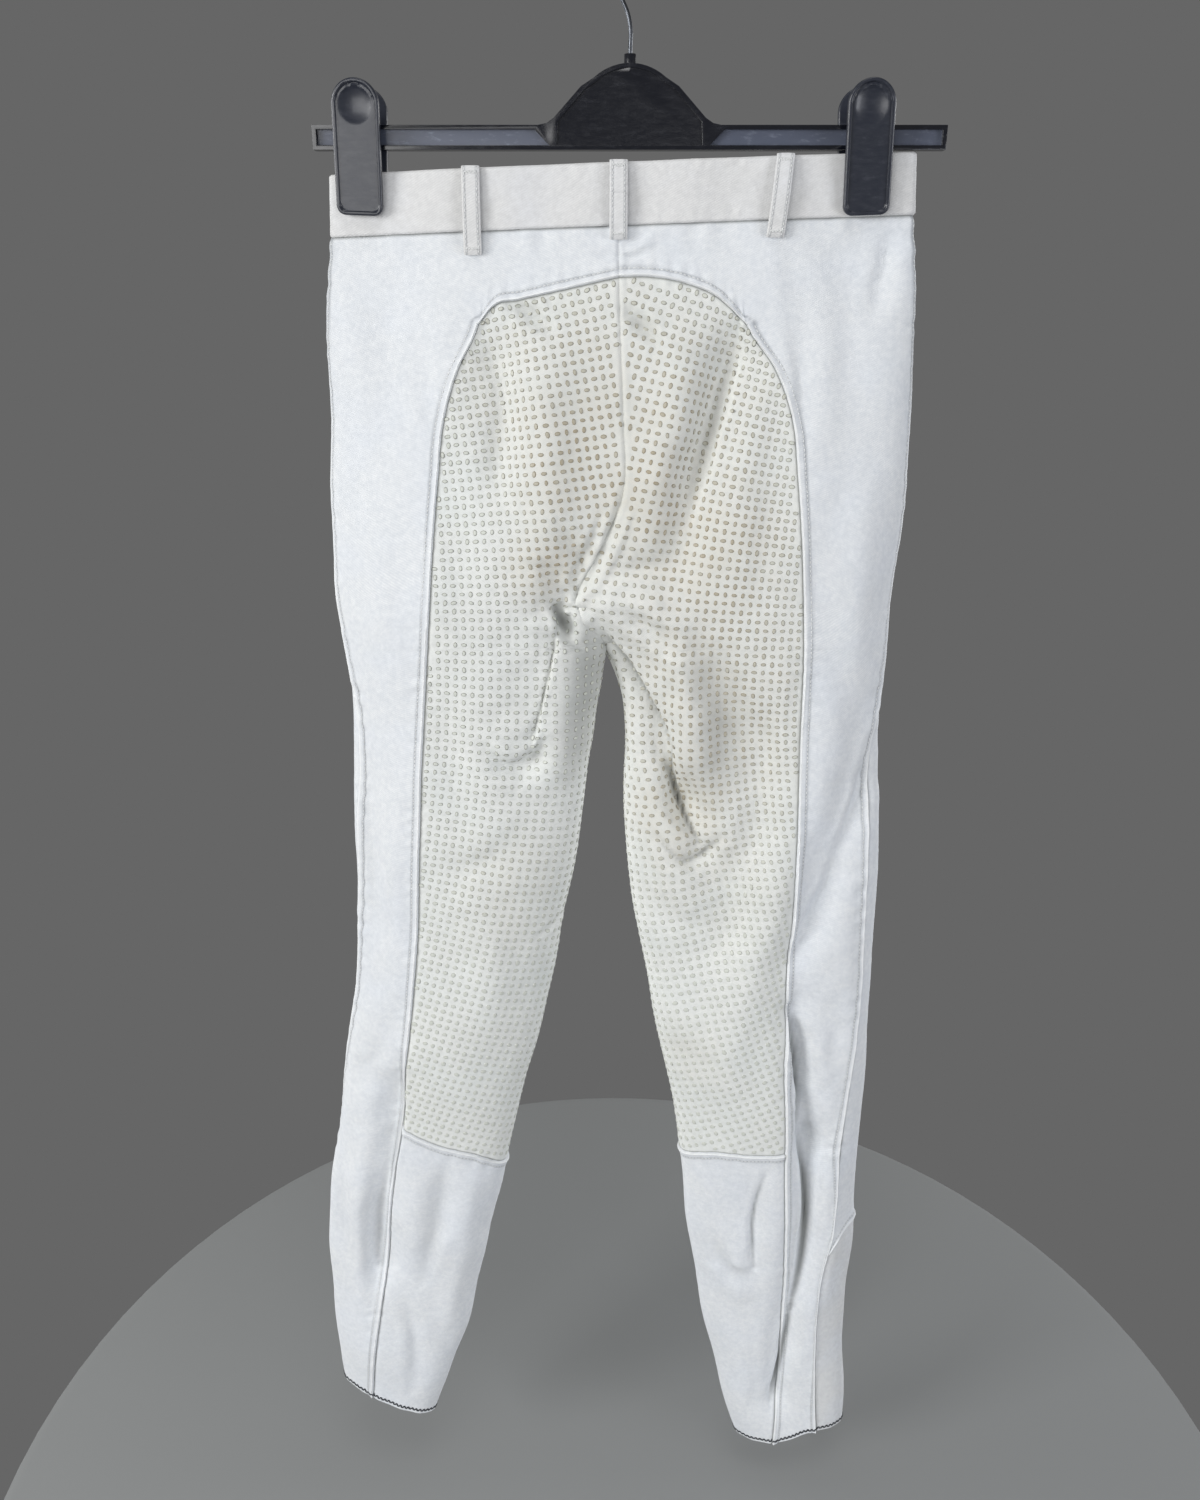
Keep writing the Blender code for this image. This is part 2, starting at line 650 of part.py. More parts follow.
def bar_outline(inset):
    """Bar with the bell on top of it, inset all round."""
    bell = bell_half(inset)
    left_bell = [(-x, z) for x, z in reversed(bell[:-1])]
    right = BAR_HALF_LENGTH - inset
    corners = [(-right, BAR_TOP - inset), (-right, BAR_BOTTOM + inset), (right, BAR_BOTTOM + inset),
               (right, BAR_TOP - inset)]
    return corners + bell + left_bell


def slot_outline(side):
    """Recess of one arm of the bar, ending in a slanting step beside the centre plate."""
    far = side * (BAR_HALF_LENGTH - BAR_RIM)
    low = BAR_BOTTOM + BAR_RIM
    high = BAR_TOP - BAR_RIM
    return [(far, low), (side * 44.0, low), (side * 52.0, high), (far, high)]


def plate_outline():
    """Shallow recess of the centre plate."""
    bell = [(x, z) for x, z in bell_half(BAR_RIM) if x < 40.0]
    low = BAR_BOTTOM + BAR_RIM
    return [(-40.0, low), (40.0, low)] + bell + [(-x, z) for x, z in reversed(bell[:-1])]


def hanger_bar():
    """Moulded bar: a block with a recess in each arm and in the plate, on both sides, and a collar."""
    bar = add_object("hanger_bar", prism("hanger_bar", bar_outline(0.0), BAR_HALF_DEPTH), BLACK_PLASTIC)
    tools = []
    for face in (-1, 1):
        for side in (-1, 1):
            mesh = prism("slot", slot_outline(side), BAR_RECESS, face * BAR_HALF_DEPTH)
            tools.append(cutter("slot", mesh))
        mesh = prism("plate_recess", plate_outline(), PLATE_RECESS, face * BAR_HALF_DEPTH)
        tools.append(cutter("plate_recess", mesh))
    cut(bar, tools)
    model = bmesh.new()
    height = COLLAR_TOP - PLATE_TOP + 4.0
    bmesh.ops.create_cone(model, cap_ends=True, segments=20, radius1=COLLAR_RADIUS * MM,
                          radius2=COLLAR_RADIUS * MM, depth=height * MM)
    bmesh.ops.translate(model, verts=model.verts, vec=Vector((0, 0, COLLAR_TOP - height / 2)) * MM)
    cut(bar, [cutter("collar", mesh_from_bmesh("collar", model))], "UNION")
    return bar


def hook_points():
    """Centre line of the wire: up from the collar, over to the left, round the rail and down."""
    centre_z = WIRE_RADIUS - HOOK_RADIUS
    shank = [(0.0, COLLAR_TOP + SEAM_GAP), (0.0, HOOK_BEND_Z), (-1.2, HOOK_BEND_Z + 5.5),
             (-4.5, HOOK_BEND_Z + 12.6)]
    bend = arc(0.0, centre_z, HOOK_RADIUS, 222, -18, 22)
    return shank + bend


def hook():
    """Steel wire hook, a mesh made from a round wire on its centre line."""
    curve = bpy.data.curves.new("hook_wire", "CURVE")
    curve.dimensions = "3D"
    curve.bevel_depth = WIRE_RADIUS * MM
    curve.bevel_resolution = 2
    curve.use_fill_caps = True
    spline = curve.splines.new("POLY")
    points = hook_points()
    spline.points.add(len(points) - 1)
    for point, (x, z) in zip(spline.points, points):
        point.co = (x * MM, 0.0, z * MM, 1.0)
    wire = bpy.data.objects.new("hook_wire", curve)
    bpy.data.collections["cutters"].objects.link(wire)
    depsgraph = bpy.context.evaluated_depsgraph_get()
    mesh = bpy.data.meshes.new_from_object(wire.evaluated_get(depsgraph))
    bpy.data.objects.remove(wire)
    model = bmesh.new()
    model.from_mesh(mesh)
    bmesh.ops.remove_doubles(model, verts=model.verts, dist=0.00001)
    return add_object("hook", mesh_from_bmesh("hook", model), SPRING_STEEL)


def lever_outline(inset):
    """Clip lever seen from behind, about its jaw's middle at the origin: round top, soft lower corners."""
    half = CLIP_WIDTH / 2 - inset
    corner = 5.0 - inset * 0.5
    top = arc(0.0, CLIP_HEIGHT - CLIP_WIDTH / 2, half, 0, 180, 14)
    lower_left = arc(-half + corner, inset + corner, corner, 180, 270, 4)
    lower_right = arc(half - corner, inset + corner, corner, 270, 360, 4)
    return top + lower_left + lower_right


def clip(name, x, jaw_gap, roll):
    """Two levers that close on the waistband below the bar, and the spring that goes over the bar.

    jaw_gap is a lever's inner face from the cloth's mid-plane, at the jaw.
    """
    jaw = Vector((x, 0.0, CLIP_TOP - CLIP_HEIGHT)) * MM
    for label, face in (("outer", -1), ("inner", 1)):
        lever = add_object(f"{name}_{label}_lever", prism("lever", lever_outline(0.0), CLIP_WALL / 2),
                           BLACK_PLASTIC)
        recess = cutter("lever_recess", prism("lever_recess", lever_outline(CLIP_RIM), CLIP_RECESS,
                                              face * CLIP_WALL / 2))
        model = bmesh.new()
        bmesh.ops.create_uvsphere(model, u_segments=20, v_segments=12, radius=THUMB_RADIUS * MM)
        away = CLIP_WALL / 2 - CLIP_RECESS + THUMB_RADIUS - 1.6
        centre = Vector((0.0, face * away, CLIP_HEIGHT - CLIP_WIDTH / 2)) * MM
        bmesh.ops.translate(model, verts=model.verts, vec=centre)
        thumb = cutter("thumb_dimple", mesh_from_bmesh("thumb_dimple", model))
        cut(lever, [recess, thumb])
        lean = Matrix.Rotation(math.radians(-face * CLIP_LEAN), 4, "X")
        turn = Matrix.Rotation(math.radians(roll), 4, "Y")
        off = Vector((0.0, face * (jaw_gap + CLIP_WALL / 2), 0.0)) * MM
        place = Matrix.Translation(jaw + off) @ turn @ lean
        for obj in (lever, recess, thumb):
            obj.matrix_world = place
    clip_spring(name + "_spring", x, jaw_gap)


def clip_spring(name, x, jaw_gap):
    """Steel strip bent over the bar, with its feet just inside the levers."""
    foot = BAR_BOTTOM + 1.0
    rise = foot - (CLIP_TOP - CLIP_HEIGHT)
    outer_radius = jaw_gap + rise * math.tan(math.radians(CLIP_LEAN)) - 0.7
    inner_radius = outer_radius - SPRING_WALL
    centre = BAR_TOP - 3.0
    outside = [(-outer_radius, foot)] + arc(0.0, centre, outer_radius, 180, 0, 10) + [(outer_radius, foot)]
    inside = [(inner_radius, foot)] + arc(0.0, centre, inner_radius, 0, 180, 10)
    inside += [(-inner_radius, foot)]
    mesh = prism(name, outside + inside, SPRING_WIDTH / 2)
    mesh.transform(Matrix.Translation(Vector((x, 0.0, 0.0)) * MM) @ Matrix.Rotation(math.pi / 2, 4, "Z"))
    return add_object(name, mesh, SPRING_STEEL)


def clear_scene():
    for obj in list(bpy.data.objects):
        bpy.data.objects.remove(obj)
    for name in ("riding_breeches", "cutters"):
        bpy.context.scene.collection.children.link(bpy.data.collections.new(name))


def main():
    clear_scene()
    left = Half("left", -1, LEFT_SECTIONS, LEFT_SEAMS, (LEFT_ARCH, LEFT_CUFF, LEFT_ANKLE, LEFT_HEM))
    right = Half("right", 1, RIGHT_SECTIONS, RIGHT_SEAMS, (RIGHT_ARCH, RIGHT_CUFF, RIGHT_ANKLE, RIGHT_HEM))
    for half in (left, right):
        panels(half)
    band = Band((left, right))
    waistband(band)
    belt_loop("belt_loop_back_left", band, -87.0, True, drop=LOOP_DROP + 3.0)
    belt_loop("belt_loop_back_centre", band, -6.0, True, drop=LOOP_DROP - 2.0)
    belt_loop("belt_loop_back_right", band, 83.0, True, lean=4.0, bow=LOOP_BOW + 1.0)
    belt_loop("belt_loop_front_left", band, -80.0, False)
    belt_loop("belt_loop_front_right", band, 70.0, False)
    fly_flap(right)
    waist_button(band)
    hanger_bar()
    hook()
    clip("clip_left", -149.0, 5.8, 2.0)
    clip("clip_right", 131.0, 6.5, -2.0)


main()
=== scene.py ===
"""Looks of the full-seat riding breeches on their clip hanger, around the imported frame.

Lengths in the tables are in millimetres, and MM turns them to metres. The breeches are one smooth surface
for each half; every panel is a thin shell on it, with its folds, its lapped seams and its stitching. +Z is
up, the back of the breeches faces -Y and the wearer's right is +X.
"""
import logging
import math
from collections.abc import Callable, Sequence
from dataclasses import dataclass, field, fields
from enum import Enum

import bmesh
import bpy
import numpy as np
from mathutils import Matrix

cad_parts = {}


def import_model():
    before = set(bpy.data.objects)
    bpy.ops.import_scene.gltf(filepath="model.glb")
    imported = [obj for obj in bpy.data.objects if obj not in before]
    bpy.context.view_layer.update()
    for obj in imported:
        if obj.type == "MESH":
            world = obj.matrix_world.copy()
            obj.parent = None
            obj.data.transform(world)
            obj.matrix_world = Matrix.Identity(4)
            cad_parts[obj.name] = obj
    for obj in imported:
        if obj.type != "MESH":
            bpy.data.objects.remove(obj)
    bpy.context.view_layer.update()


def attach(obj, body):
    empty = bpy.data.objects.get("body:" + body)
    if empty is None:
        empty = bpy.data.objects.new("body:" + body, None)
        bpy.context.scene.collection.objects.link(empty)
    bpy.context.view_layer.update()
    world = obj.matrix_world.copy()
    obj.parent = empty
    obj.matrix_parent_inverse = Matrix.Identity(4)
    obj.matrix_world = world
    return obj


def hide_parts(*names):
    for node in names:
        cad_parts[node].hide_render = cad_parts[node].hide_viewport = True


LOG = logging.getLogger("breeches")
MM = 0.001

# Cloth and form, as the solids have them
CLOTH = 1.5
SHELL_INNER = 0.35          # inner face of a panel's shell above the form
BAND_CLOTH = 2.3
LOOP_CLOTH = 1.8
SEAM_GAP = 0.3
SQUARENESS = 2.15
WAIST_Z = -160.0
CROTCH_Z = -399.0
CROTCH_ROUNDING = 20.0
PARTING_POWER = 2.2
ANKLE_SHARE = 0.42
FRONT_INSEAM = 0.8
FOLD_FLOOR = 4.5
BAND_HEIGHT = 32.0
BAND_TILT = 0.036
LOOP_WIDTH = 10.0
LOOP_DROP = 9.0
LOOP_BOW = 2.2
STITCH_ACROSS = 3.4         # of a belt loop, from its middle to its rows of stitches
FLY_FOOT = 0.5              # share of the seat run down to which the fly flap goes
FLY_SHARE = 1 / 3           # of the inner run, left free beside the fly flap
BUTTON_RADIUS = 8.5
BUTTON_THICKNESS = 3.0
COLLAR_TOP = -75.0
WIRE_RADIUS = 1.15
HOOK_RADIUS = 21.0
HOOK_BEND_Z = -62.0
HOOK_TURNS = (222.0, -18.0)  # angles at which the hook's bend begins and ends
MOULDED_SHARP = 60.0        # angle in degrees past which a moulded edge stays sharp
CLIP_WIDTH = 25.4
CLIP_HEIGHT = 67.0
CLIP_WALL = 4.2
CLIP_RIM = 2.0
CLIP_RECESS = 1.2
CLIP_TOP = -88.0
CLIP_LEAN = 6.0
CLIP_CORNER = 5.0
DIMPLE_RADIUS = 9.0
DIMPLE_DEPTH = 1.6
DIMPLE_LIP = 0.7            # height of the lip over the thumb's bowl
CLIP_EDGE = 0.8             # radius of a lever's rounded edge
BAR_FRONT = 1.7             # depth from the middle within which a face of the bar is a recess's floor

# Seams: what lies on top is folded under and stitched down
LAP = 0.9                   # how far the folded edge stands proud
ROLL = 0.75                 # further height of the rolled fold itself
CREASE_GAIN = 1.45          # of every crease's depth in the tables
STITCH_FROM_FOLD = 4.4
SEAM_STATIONS = np.array((0.0, 0.35, 0.8, 1.4, 2.2, 3.2, 4.0, 4.8, 6.0, 7.8))
SERGING_LOW = 2.6           # lower points of the hem's zigzag above the edge
SERGING_HIGH = 5.6
SERGING_STEP = 1.7
SERGING_BREADTH = 0.60
CLOTH_SHARP = 55.0          # angle in degrees past which a cloth's edge stays sharp
GATHER = (-30.0, -372.0)    # where the seat's seams meet and pull pleats

# Silicone print
DOT_PITCH = 5.2             # between neighbours, which lie across and along by turns
DOT_GROWTH = 0.045          # of the pitch for each 100 mm down the leg
DOT_LENGTH = 3.7
DOT_BREADTH = 2.4
DOT_HEIGHT = 0.36
DOT_SWELL = 0.22            # further breadth of the dots down the leg
DOT_SWELL_Z = (-460.0, -640.0)  # heights at which that begins and is full
DOT_LEAN = 7.0              # usual error of a dot's way, in degrees
DOT_UNEVEN = 0.1            # share by which a dot is larger or smaller than the rest
DOT_CLEAR = 1.5             # least distance of a dot's middle from a seam


@dataclass(frozen=True)
class Section:
    """Half-section: x of centre seam or inner leg behind and in front, x outside, and half-depths."""

    z: float
    inner_back: float
    inner_front: float
    outer: float
    back: float
    front: float


@dataclass(frozen=True)
class Seam:
    """Seams down the leg at a height: x of the seat seam, and the turn of the side seam."""

    z: float
    seat: float
    side: float


@dataclass(frozen=True)
class Fold:
    """Large straight fold of the form; a negative depth is a trough."""

    x0: float
    z0: float
    x1: float
    z1: float
    width: float
    depth: float


class Face(Enum):
    """Side of the breeches that a crease lies on."""

    BACK = 1.0
    FRONT = -1.0


@dataclass(frozen=True)
class Crease:
    """Fold on a curved path from start by middle to end; near is to its right on the way, far to its left.

    A trough is negative, and each flank has its own width, so one can be steep and the other soft. The last
    two values paint shade along the fold's bottom, where cloth meets cloth: how dark that painted shade is,
    and how far it reaches.
    """

    face: Face
    start: tuple[float, float]
    middle: tuple[float, float]
    end: tuple[float, float]
    near: float
    far: float
    depth: float
    # painted shade along the fold's bottom, and the half-width that it reaches
    crack: float = 0.0
    crack_width: float = 1.3


LEFT_SECTIONS = [Section(*row) for row in (
    (-120, -6, -5, -165.5, 8, 8), (-165, -6, -5, -168, 9, 9), (-210, -5, -6, -172, 14, 12),
    (-260, -3, -7, -175, 20, 17), (-311, -4, -9, -178, 25, 20), (-340, -17, -11, -178, 27, 21),
    (-371, -30, -13, -178, 28, 22), (-399, -14.4, -14.4, -177, 28, 23), (-439, -16, -16, -175, 28, 24),
    (-486, -24, -24, -176.5, 28, 24), (-544, -32, -32, -179.5, 28, 24), (-603, -42, -42, -183, 27, 24),
    (-661, -54, -54, -188, 26, 23), (-731, -72, -72, -201, 24, 22), (-786, -84, -84, -212, 22, 21),
    (-853, -98, -98, -221, 19, 19), (-951, -119, -119, -224, 16, 16), (-1003, -138, -138, -222, 13, 13),
    (-1050, -152, -152, -214, 12, 12))]
RIGHT_SECTIONS = [Section(*row) for row in (
    (-120, -6, -5, 157, 8, 8), (-165, -6, -5, 160, 9, 9), (-210, -5, -6, 164.5, 14, 12),
    (-260, -3, -7, 167, 20, 17), (-311, -4, -9, 167, 25, 20), (-340, -17, -11, 166, 27, 21),
    (-371, -30, -13, 164.5, 28, 22), (-399, -13.6, -13.6, 164, 28, 23), (-439, -2, -2, 164, 28, 24),
    (-486, -1, -1, 166, 28, 24), (-544, 2, 2, 170, 28, 24), (-603, 10, 10, 172.5, 27, 24),
    (-661, 20, 20, 174, 26, 23), (-731, 35, 35, 174, 24, 22), (-786, 42, 42, 174, 22, 21),
    (-853, 51, 51, 176, 20, 20), (-951, 67, 67, 175.5, 17, 17), (-1014, 81, 81, 178, 15, 15),
    (-1080, 97, 97, 184, 14, 14))]
LEFT_SEAMS = [Seam(*row) for row in (
    (-120, -80, -12), (-185, -81, -10), (-212, -85, -8), (-236, -97, -6), (-264, -106, -4),
    (-298, -111, -2), (-369, -118, 4), (-458, -127, 20), (-534, -133, 19), (-609, -139, 14),
    (-664, -146, 8), (-754, -159, -12), (-876, -176, -30), (-957, -189, -38), (-1050, -201, -45))]
RIGHT_SEAMS = [Seam(*row) for row in (
    (-120, 64, -12), (-185, 63, -10), (-212, 67, -8), (-236, 84, -6), (-264, 95, -4), (-292, 99, -2),
    (-381, 107, -1), (-472, 110, 22), (-534, 111, 27), (-609, 110, 29), (-681, 111, 33), (-774, 117, 41),
    (-830, 119, 44), (-895, 122, 55), (-957, 125, 58), (-1080, 123, 63))]
# Lines that run round the leg, as points (x, z)
LEFT_LINES = {
    "arch": ((-85, -212), (-77, -203), (-61, -199), (-33, -193), (-5, -187)),
    "cuff": ((-159, -754), (-131, -769), (-104, -780), (-86, -794)),
    "ankle": ((-222, -846), (-211, -852), (-200, -864), (-190, -884)),
    "hem": ((-222, -1006), (-198, -1018), (-176, -1029), (-150, -1042)),
}
RIGHT_LINES = {
    "arch": ((-5, -187), (12, -187), (34, -191), (49, -197), (67, -212)),
    "cuff": ((42, -785), (63, -777), (92, -776), (117, -776)),
    "ankle": ((150, -882), (156, -864), (165, -852), (175, -846)),
    "hem": ((92, -1065), (122, -1066), (157, -1053), (181, -1052)),
}
CLIP_FOLDS = [Fold(-150, -110, -149, -172, 28, -4.0), Fold(132, -110, 131, -165, 28, -4.0)]
BACK_FOLDS = CLIP_FOLDS + [Fold(*row) for row in (
    (-78, -236, -76, -292, 12, -5),
    (60, -240, 35, -328, 14, -8), (-40, -375, -60, -470, 11, -8), (4, -425, 36, -500, 13, -12),
    (36, -500, 50, -540, 12, -10), (84, -460, 62, -590, 24, -8), (160, -450, 114, -610, 17, -6),
    (-168, -725, -180, -880, 14, -8), (118, -655, 136, -770, 12, -9), (136, -770, 124, -1015, 12, -9),
    (-30, -345, 25, -352, 12, -4), (-44, -250, -52, -345, 16, 4), (98, -560, 70, -700, 18, 5))]
FRONT_FOLDS = CLIP_FOLDS + [Fold(*row) for row in (
    (-90, -215, -70, -330, 15, -5),
    (85, -215, 62, -330, 15, -5), (-35, -400, -110, -500, 14, -6), (25, -410, 95, -510, 14, -6),
    (-95, -640, -150, -740, 15, -6), (75, -640, 130, -740, 15, -6), (-150, -820, -175, -990, 13, -5),
    (105, -830, 125, -1010, 13, -5))]

# Creases that the hand arranges on top of the form's large folds
CREASES = [Crease(Face.BACK, *row) for row in (
    # seat
    ((-81, -217), (-71, -254), (-76, -292), 6, 11, -1.9),
    ((63, -217), (50, -269), (33, -322), 14, 4, -4.6),
    ((-66, -202), (-54, -207), (-42, -218), 4, 3, -2.6, 0.2, 3.0),
    ((-4, -203), (7, -211), (18, -223), 4, 3, -2.8, 0.25, 3.0),
    ((-19, -174), (-4, -177), (9, -172), 2.6, 2.2, -1.8, 0.1),
    ((-4, -176), (8, -170), (14, -162), 3.0, 2.0, 1.6),
    ((-60, -235), (-50, -285), (-42, -340), 12, 14, 1.6),
    ((30, -230), (22, -280), (10, -330), 10, 13, 1.8),
    ((86, -250), (84, -310), (78, -372), 9, 12, -1.4),
    ((-96, -262), (-100, -330), (-98, -400), 10, 12, -1.0),
    # crotch: pleats that run out from the gather
    ((-28, -362), (-44, -350), (-62, -346), 2.5, 5, -1.5),
    ((-24, -358), (-30, -338), (-42, -322), 2.5, 4, -1.2),
    ((-18, -362), (2, -352), (24, -352), 3, 6, -1.7),
    ((-16, -368), (8, -374), (34, -384), 4, 7, 1.9),
    ((-36, -372), (-46, -380), (-60, -384), 3, 5, 1.2),
    ((-42, -373), (-41, -383), (-31, -399), 3, 6, -6.5, 0.6, 3.6),
    ((-37, -366), (-31, -371), (-23, -368), 2.6, 2.6, 2.4),
    ((-3, -300), (-12, -332), (-25, -360), 2.0, 2.6, -1.3, 0.18),
    ((3, -312), (-6, -338), (-18, -362), 2.2, 2.0, 1.1),
    ((-16, -314), (-22, -334), (-33, -352), 2.0, 2.8, -1.1, 0.14),
    # left thigh
    ((-45, -373), (-49, -415), (-66, -470), 2.2, 2.6, -1.6, 0.45),
    ((-87, -460), (-70, -475), (-48, -458), 8, 3.0, -3.2),
    ((-84, -452), (-70, -464), (-52, -450), 7, 3, 1.5),
    ((-44, -378), (-47, -420), (-62, -476), 11, 22, 4.6),
    # nearly flat: mostly a broad painted shade over the left inner thigh
    ((-28, -384), (-25, -424), (-38, -486), 10, 10, -0.6, 0.62, 13.0),
    ((-60, -600), (-50, -596), (-40, -588), 1.6, 2.4, -1.3),
    ((-118, -400), (-108, -480), (-112, -560), 14, 12, -1.6),
    ((-100, -560), (-88, -620), (-100, -690), 16, 12, 1.5),
    ((-70, -520), (-90, -540), (-118, -545), 8, 12, -1.5),
    # right thigh
    ((-6, -370), (12, -388), (30, -402), 4, 7, -2.6),
    ((20, -388), (38, -430), (37, -496), 8, 12, 3.4),
    ((44, -400), (62, -448), (56, -508), 12, 14, -3.4, 0.36, 13.0),
    ((-15, -389), (9, -424), (30, -464), 3.4, 2.0, -2.4, 1.0),
    ((30, -464), (34, -500), (49, -531), 3.4, 2.0, -2.8, 0.9),
    ((-2, -420), (14, -462), (24, -512), 9, 6, 1.2),
    ((22, -526), (42, -544), (62, -526), 5, 2.4, -2.8, 0.55),
    ((24, -512), (42, -529), (54, -518), 5, 2.6, 1.3),
    ((74, -436), (88, -500), (68, -560), 9, 12, -3.0),
    ((60, -545), (74, -580), (58, -612), 10, 12, -2.0),
    ((96, -400), (98, -470), (96, -540), 7, 7, 1.3),
    ((10, -560), (30, -585), (56, -590), 8, 10, -1.4),
    ((28, -640), (40, -668), (70, -690), 10, 12, 1.2),
    # right outer panel
    ((162, -448), (152, -494), (140, -536), 4.0, 11, -3.4),
    ((140, -536), (128, -574), (112, -612), 4.0, 12, -2.8),
    ((124, -420), (128, -480), (122, -530), 11, 9, 1.4),
    ((86, -172), (95, -216), (102, -276), 3.4, 9, -1.7, 0.06, 3.0),
    ((120, -180), (127, -240), (125, -312), 10, 12, -1.2),
    ((146, -166), (143, -184), (140, -208), 3.5, 6, -2.4),
    ((142, -300), (139, -360), (144, -430), 10, 10, 1.2),
    ((122, -630), (140, -668), (150, -710), 8, 9, -1.8),
    ((150, -610), (157, -660), (152, -720), 7, 8, 1.2),
    # left outer panel
    ((-128, -176), (-137, -230), (-142, -300), 11, 14, -1.2),
    ((-122, -205), (-118, -234), (-115, -272), 3.4, 8, -1.4),
    ((-150, -300), (-148, -370), (-152, -440), 12, 9, 1.2),
    ((-170, -430), (-165, -520), (-172, -640), 5, 8, -1.8),
    ((-140, -480), (-150, -560), (-152, -640), 10, 9, 1.3),
    ((-152, -650), (-170, -690), (-188, -720), 8, 10, -1.8),
    ((-153, -690), (-160, -752), (-169, -806), 9, 2.6, -3.4, 0.5),
    ((-171, -800), (-182, -850), (-186, -905), 8, 5, -3.0),
    ((-186, -760), (-196, -850), (-200, -940), 7, 7, 1.4),
    ((-200, -760), (-207, -830), (-206, -900), 5, 6, -1.4),
    # calves
    ((-110, -800), (-120, -865), (-134, -940), 9, 8, 1.7),
    ((-128, -790), (-138, -842), (-151, -896), 9, 6, -2.4, 0.2, 6.0),
    ((-168, -905), (-160, -960), (-166, -1010), 5, 7, -1.5),
    ((112, -655), (123, -710), (127, -764), 2.6, 8, -4.8, 1.0, 2.0),
    ((127, -760), (136, -840), (131, -930), 2.6, 8, -4.8, 1.0, 2.2),
    ((131, -930), (126, -980), (120, -1024), 3.0, 7, -2.8, 0.9, 1.8),
    ((60, -795), (72, -850), (88, -915), 10, 12, 1.4),
    ((104, -790), (97, -838), (100, -884), 2.2, 5, -2.2, 0.45),
    ((70, -856), (84, -886), (98, -884), 8, 6, -2.0, 0.12, 5.0),
    ((94, -800), (99, -860), (106, -930), 6, 9, -1.3),
    ((100, -960), (106, -1000), (104, -1040), 5, 7, -1.0),
    ((150, -780), (158, -860), (156, -930), 6, 6, 1.0),
)] + [Crease(Face.FRONT, *row) for row in (
    ((-90, -200), (-84, -260), (-70, -330), 9, 12, -1.8),
    ((84, -200), (78, -262), (60, -330), 9, 12, -1.8),
    ((-20, -385), (-46, -374), (-80, -366), 4, 8, -2.4),
    ((6, -388), (34, -376), (66, -370), 4, 8, -2.4),
    ((-24, -400), (-60, -440), (-112, -500), 5, 10, -2.4),
    ((12, -410), (50, -448), (98, -512), 5, 10, -2.4),
    ((-130, -420), (-124, -520), (-130, -620), 12, 10, 1.5),
    ((120, -420), (114, -520), (122, -620), 12, 10, 1.5),
    ((-84, -600), (-110, -650), (-150, -700), 5, 10, -2.2),
    ((60, -600), (90, -650), (128, -706), 5, 10, -2.2),
    ((-110, -700), (-140, -735), (-176, -752), 4, 8, -1.8),
    ((74, -706), (104, -742), (140, -760), 4, 8, -1.8),
    ((-140, -800), (-158, -880), (-176, -960), 6, 9, -1.6),
    ((86, -810), (104, -890), (118, -980), 6, 9, -1.6),
    ((-180, -900), (-178, -950), (-184, -1000), 5, 7, 1.0),
    ((140, -900), (146, -950), (142, -1010), 5, 7, 1.0),
)]


@dataclass(frozen=True)
class Run:
    """Stretch of grid lines between two seams: its name, its usual length and the spacing between lines."""

    name: str
    length: float
    step: float


COLUMN_RUNS = (Run("seat", 95, 1.9), Run("outer", 62, 2.3), Run("ankle", 62, 5.5),
               Run("front", 100, 9.0), Run("inner", 42, 2.6))
ROW_RUNS = (Run("yoke", 42, 3.0), Run("seat", 200, 2.6), Run("thigh", 378, 2.3),
            Run("calf", 92, 3.4), Run("hem", 168, 3.1))


class Way(Enum):
    """Direction of a grid line."""

    DOWN = 0      # a column of the grid, down the leg
    ROUND = 1     # a row of the grid, round the leg


@dataclass(frozen=True)
class GridLine:
    """Part of a grid line: its way, the line's name, and the two lines between which it is a seam."""

    way: Way
    line: str
    first: str
    last: str


@dataclass(frozen=True)
class SeamPlan:
    """Seam of one or more lines: the panels on top of it and under it, and its row of stitches.

    Sides says for each line whether the stitches run toward higher grid numbers, 1, or lower ones, -1.
    """

    lines: tuple[GridLine, ...]
    upper: tuple[str, ...]
    lower: tuple[str, ...]
    sides: tuple[int, ...] = ()
    stitch: float = STITCH_FROM_FOLD
    margin: float = 0.0


# Seat, side, cuff, ankle and inner-leg seams
SEAMS = (
    SeamPlan((GridLine(Way.DOWN, "outer", "seat", "end"), GridLine(Way.ROUND, "seat", "seat", "outer")),
             ("back_panel",), ("silicone_seat", "calf_panel"), (1, -1)),
    SeamPlan((GridLine(Way.DOWN, "ankle", "yoke", "end"),),
             ("back_panel",), ("front_panel", "ankle_panel"), (-1,), 3.8, -2.0),
    SeamPlan((GridLine(Way.ROUND, "calf", "seat", "outer"), GridLine(Way.ROUND, "calf", "inner", "end")),
             ("calf_panel",), ("silicone_seat",), (1, 1), 4.8),
    SeamPlan((GridLine(Way.ROUND, "hem", "ankle", "front"), GridLine(Way.DOWN, "front", "hem", "end")),
             ("front_panel",), ("ankle_panel",), (-1, 1), 3.8),
    SeamPlan((GridLine(Way.DOWN, "inner", "thigh", "end"), GridLine(Way.ROUND, "thigh", "inner", "end")),
             ("front_panel",), ("silicone_seat", "calf_panel"), (-1, -1)),
)
# Centre back and centre front, where both sides turn in
PLAIN_SEAMS = (
    SeamPlan((GridLine(Way.DOWN, "seat", "yoke", "thigh"),), (), ("back_panel", "silicone_seat")),
    SeamPlan((GridLine(Way.DOWN, "end", "yoke", "thigh"),), (), ("front_panel",)),
)
WAIST_SEAM = GridLine(Way.ROUND, "yoke", "seat", "end")
HEM_EDGE = GridLine(Way.ROUND, "end", "seat", "end")

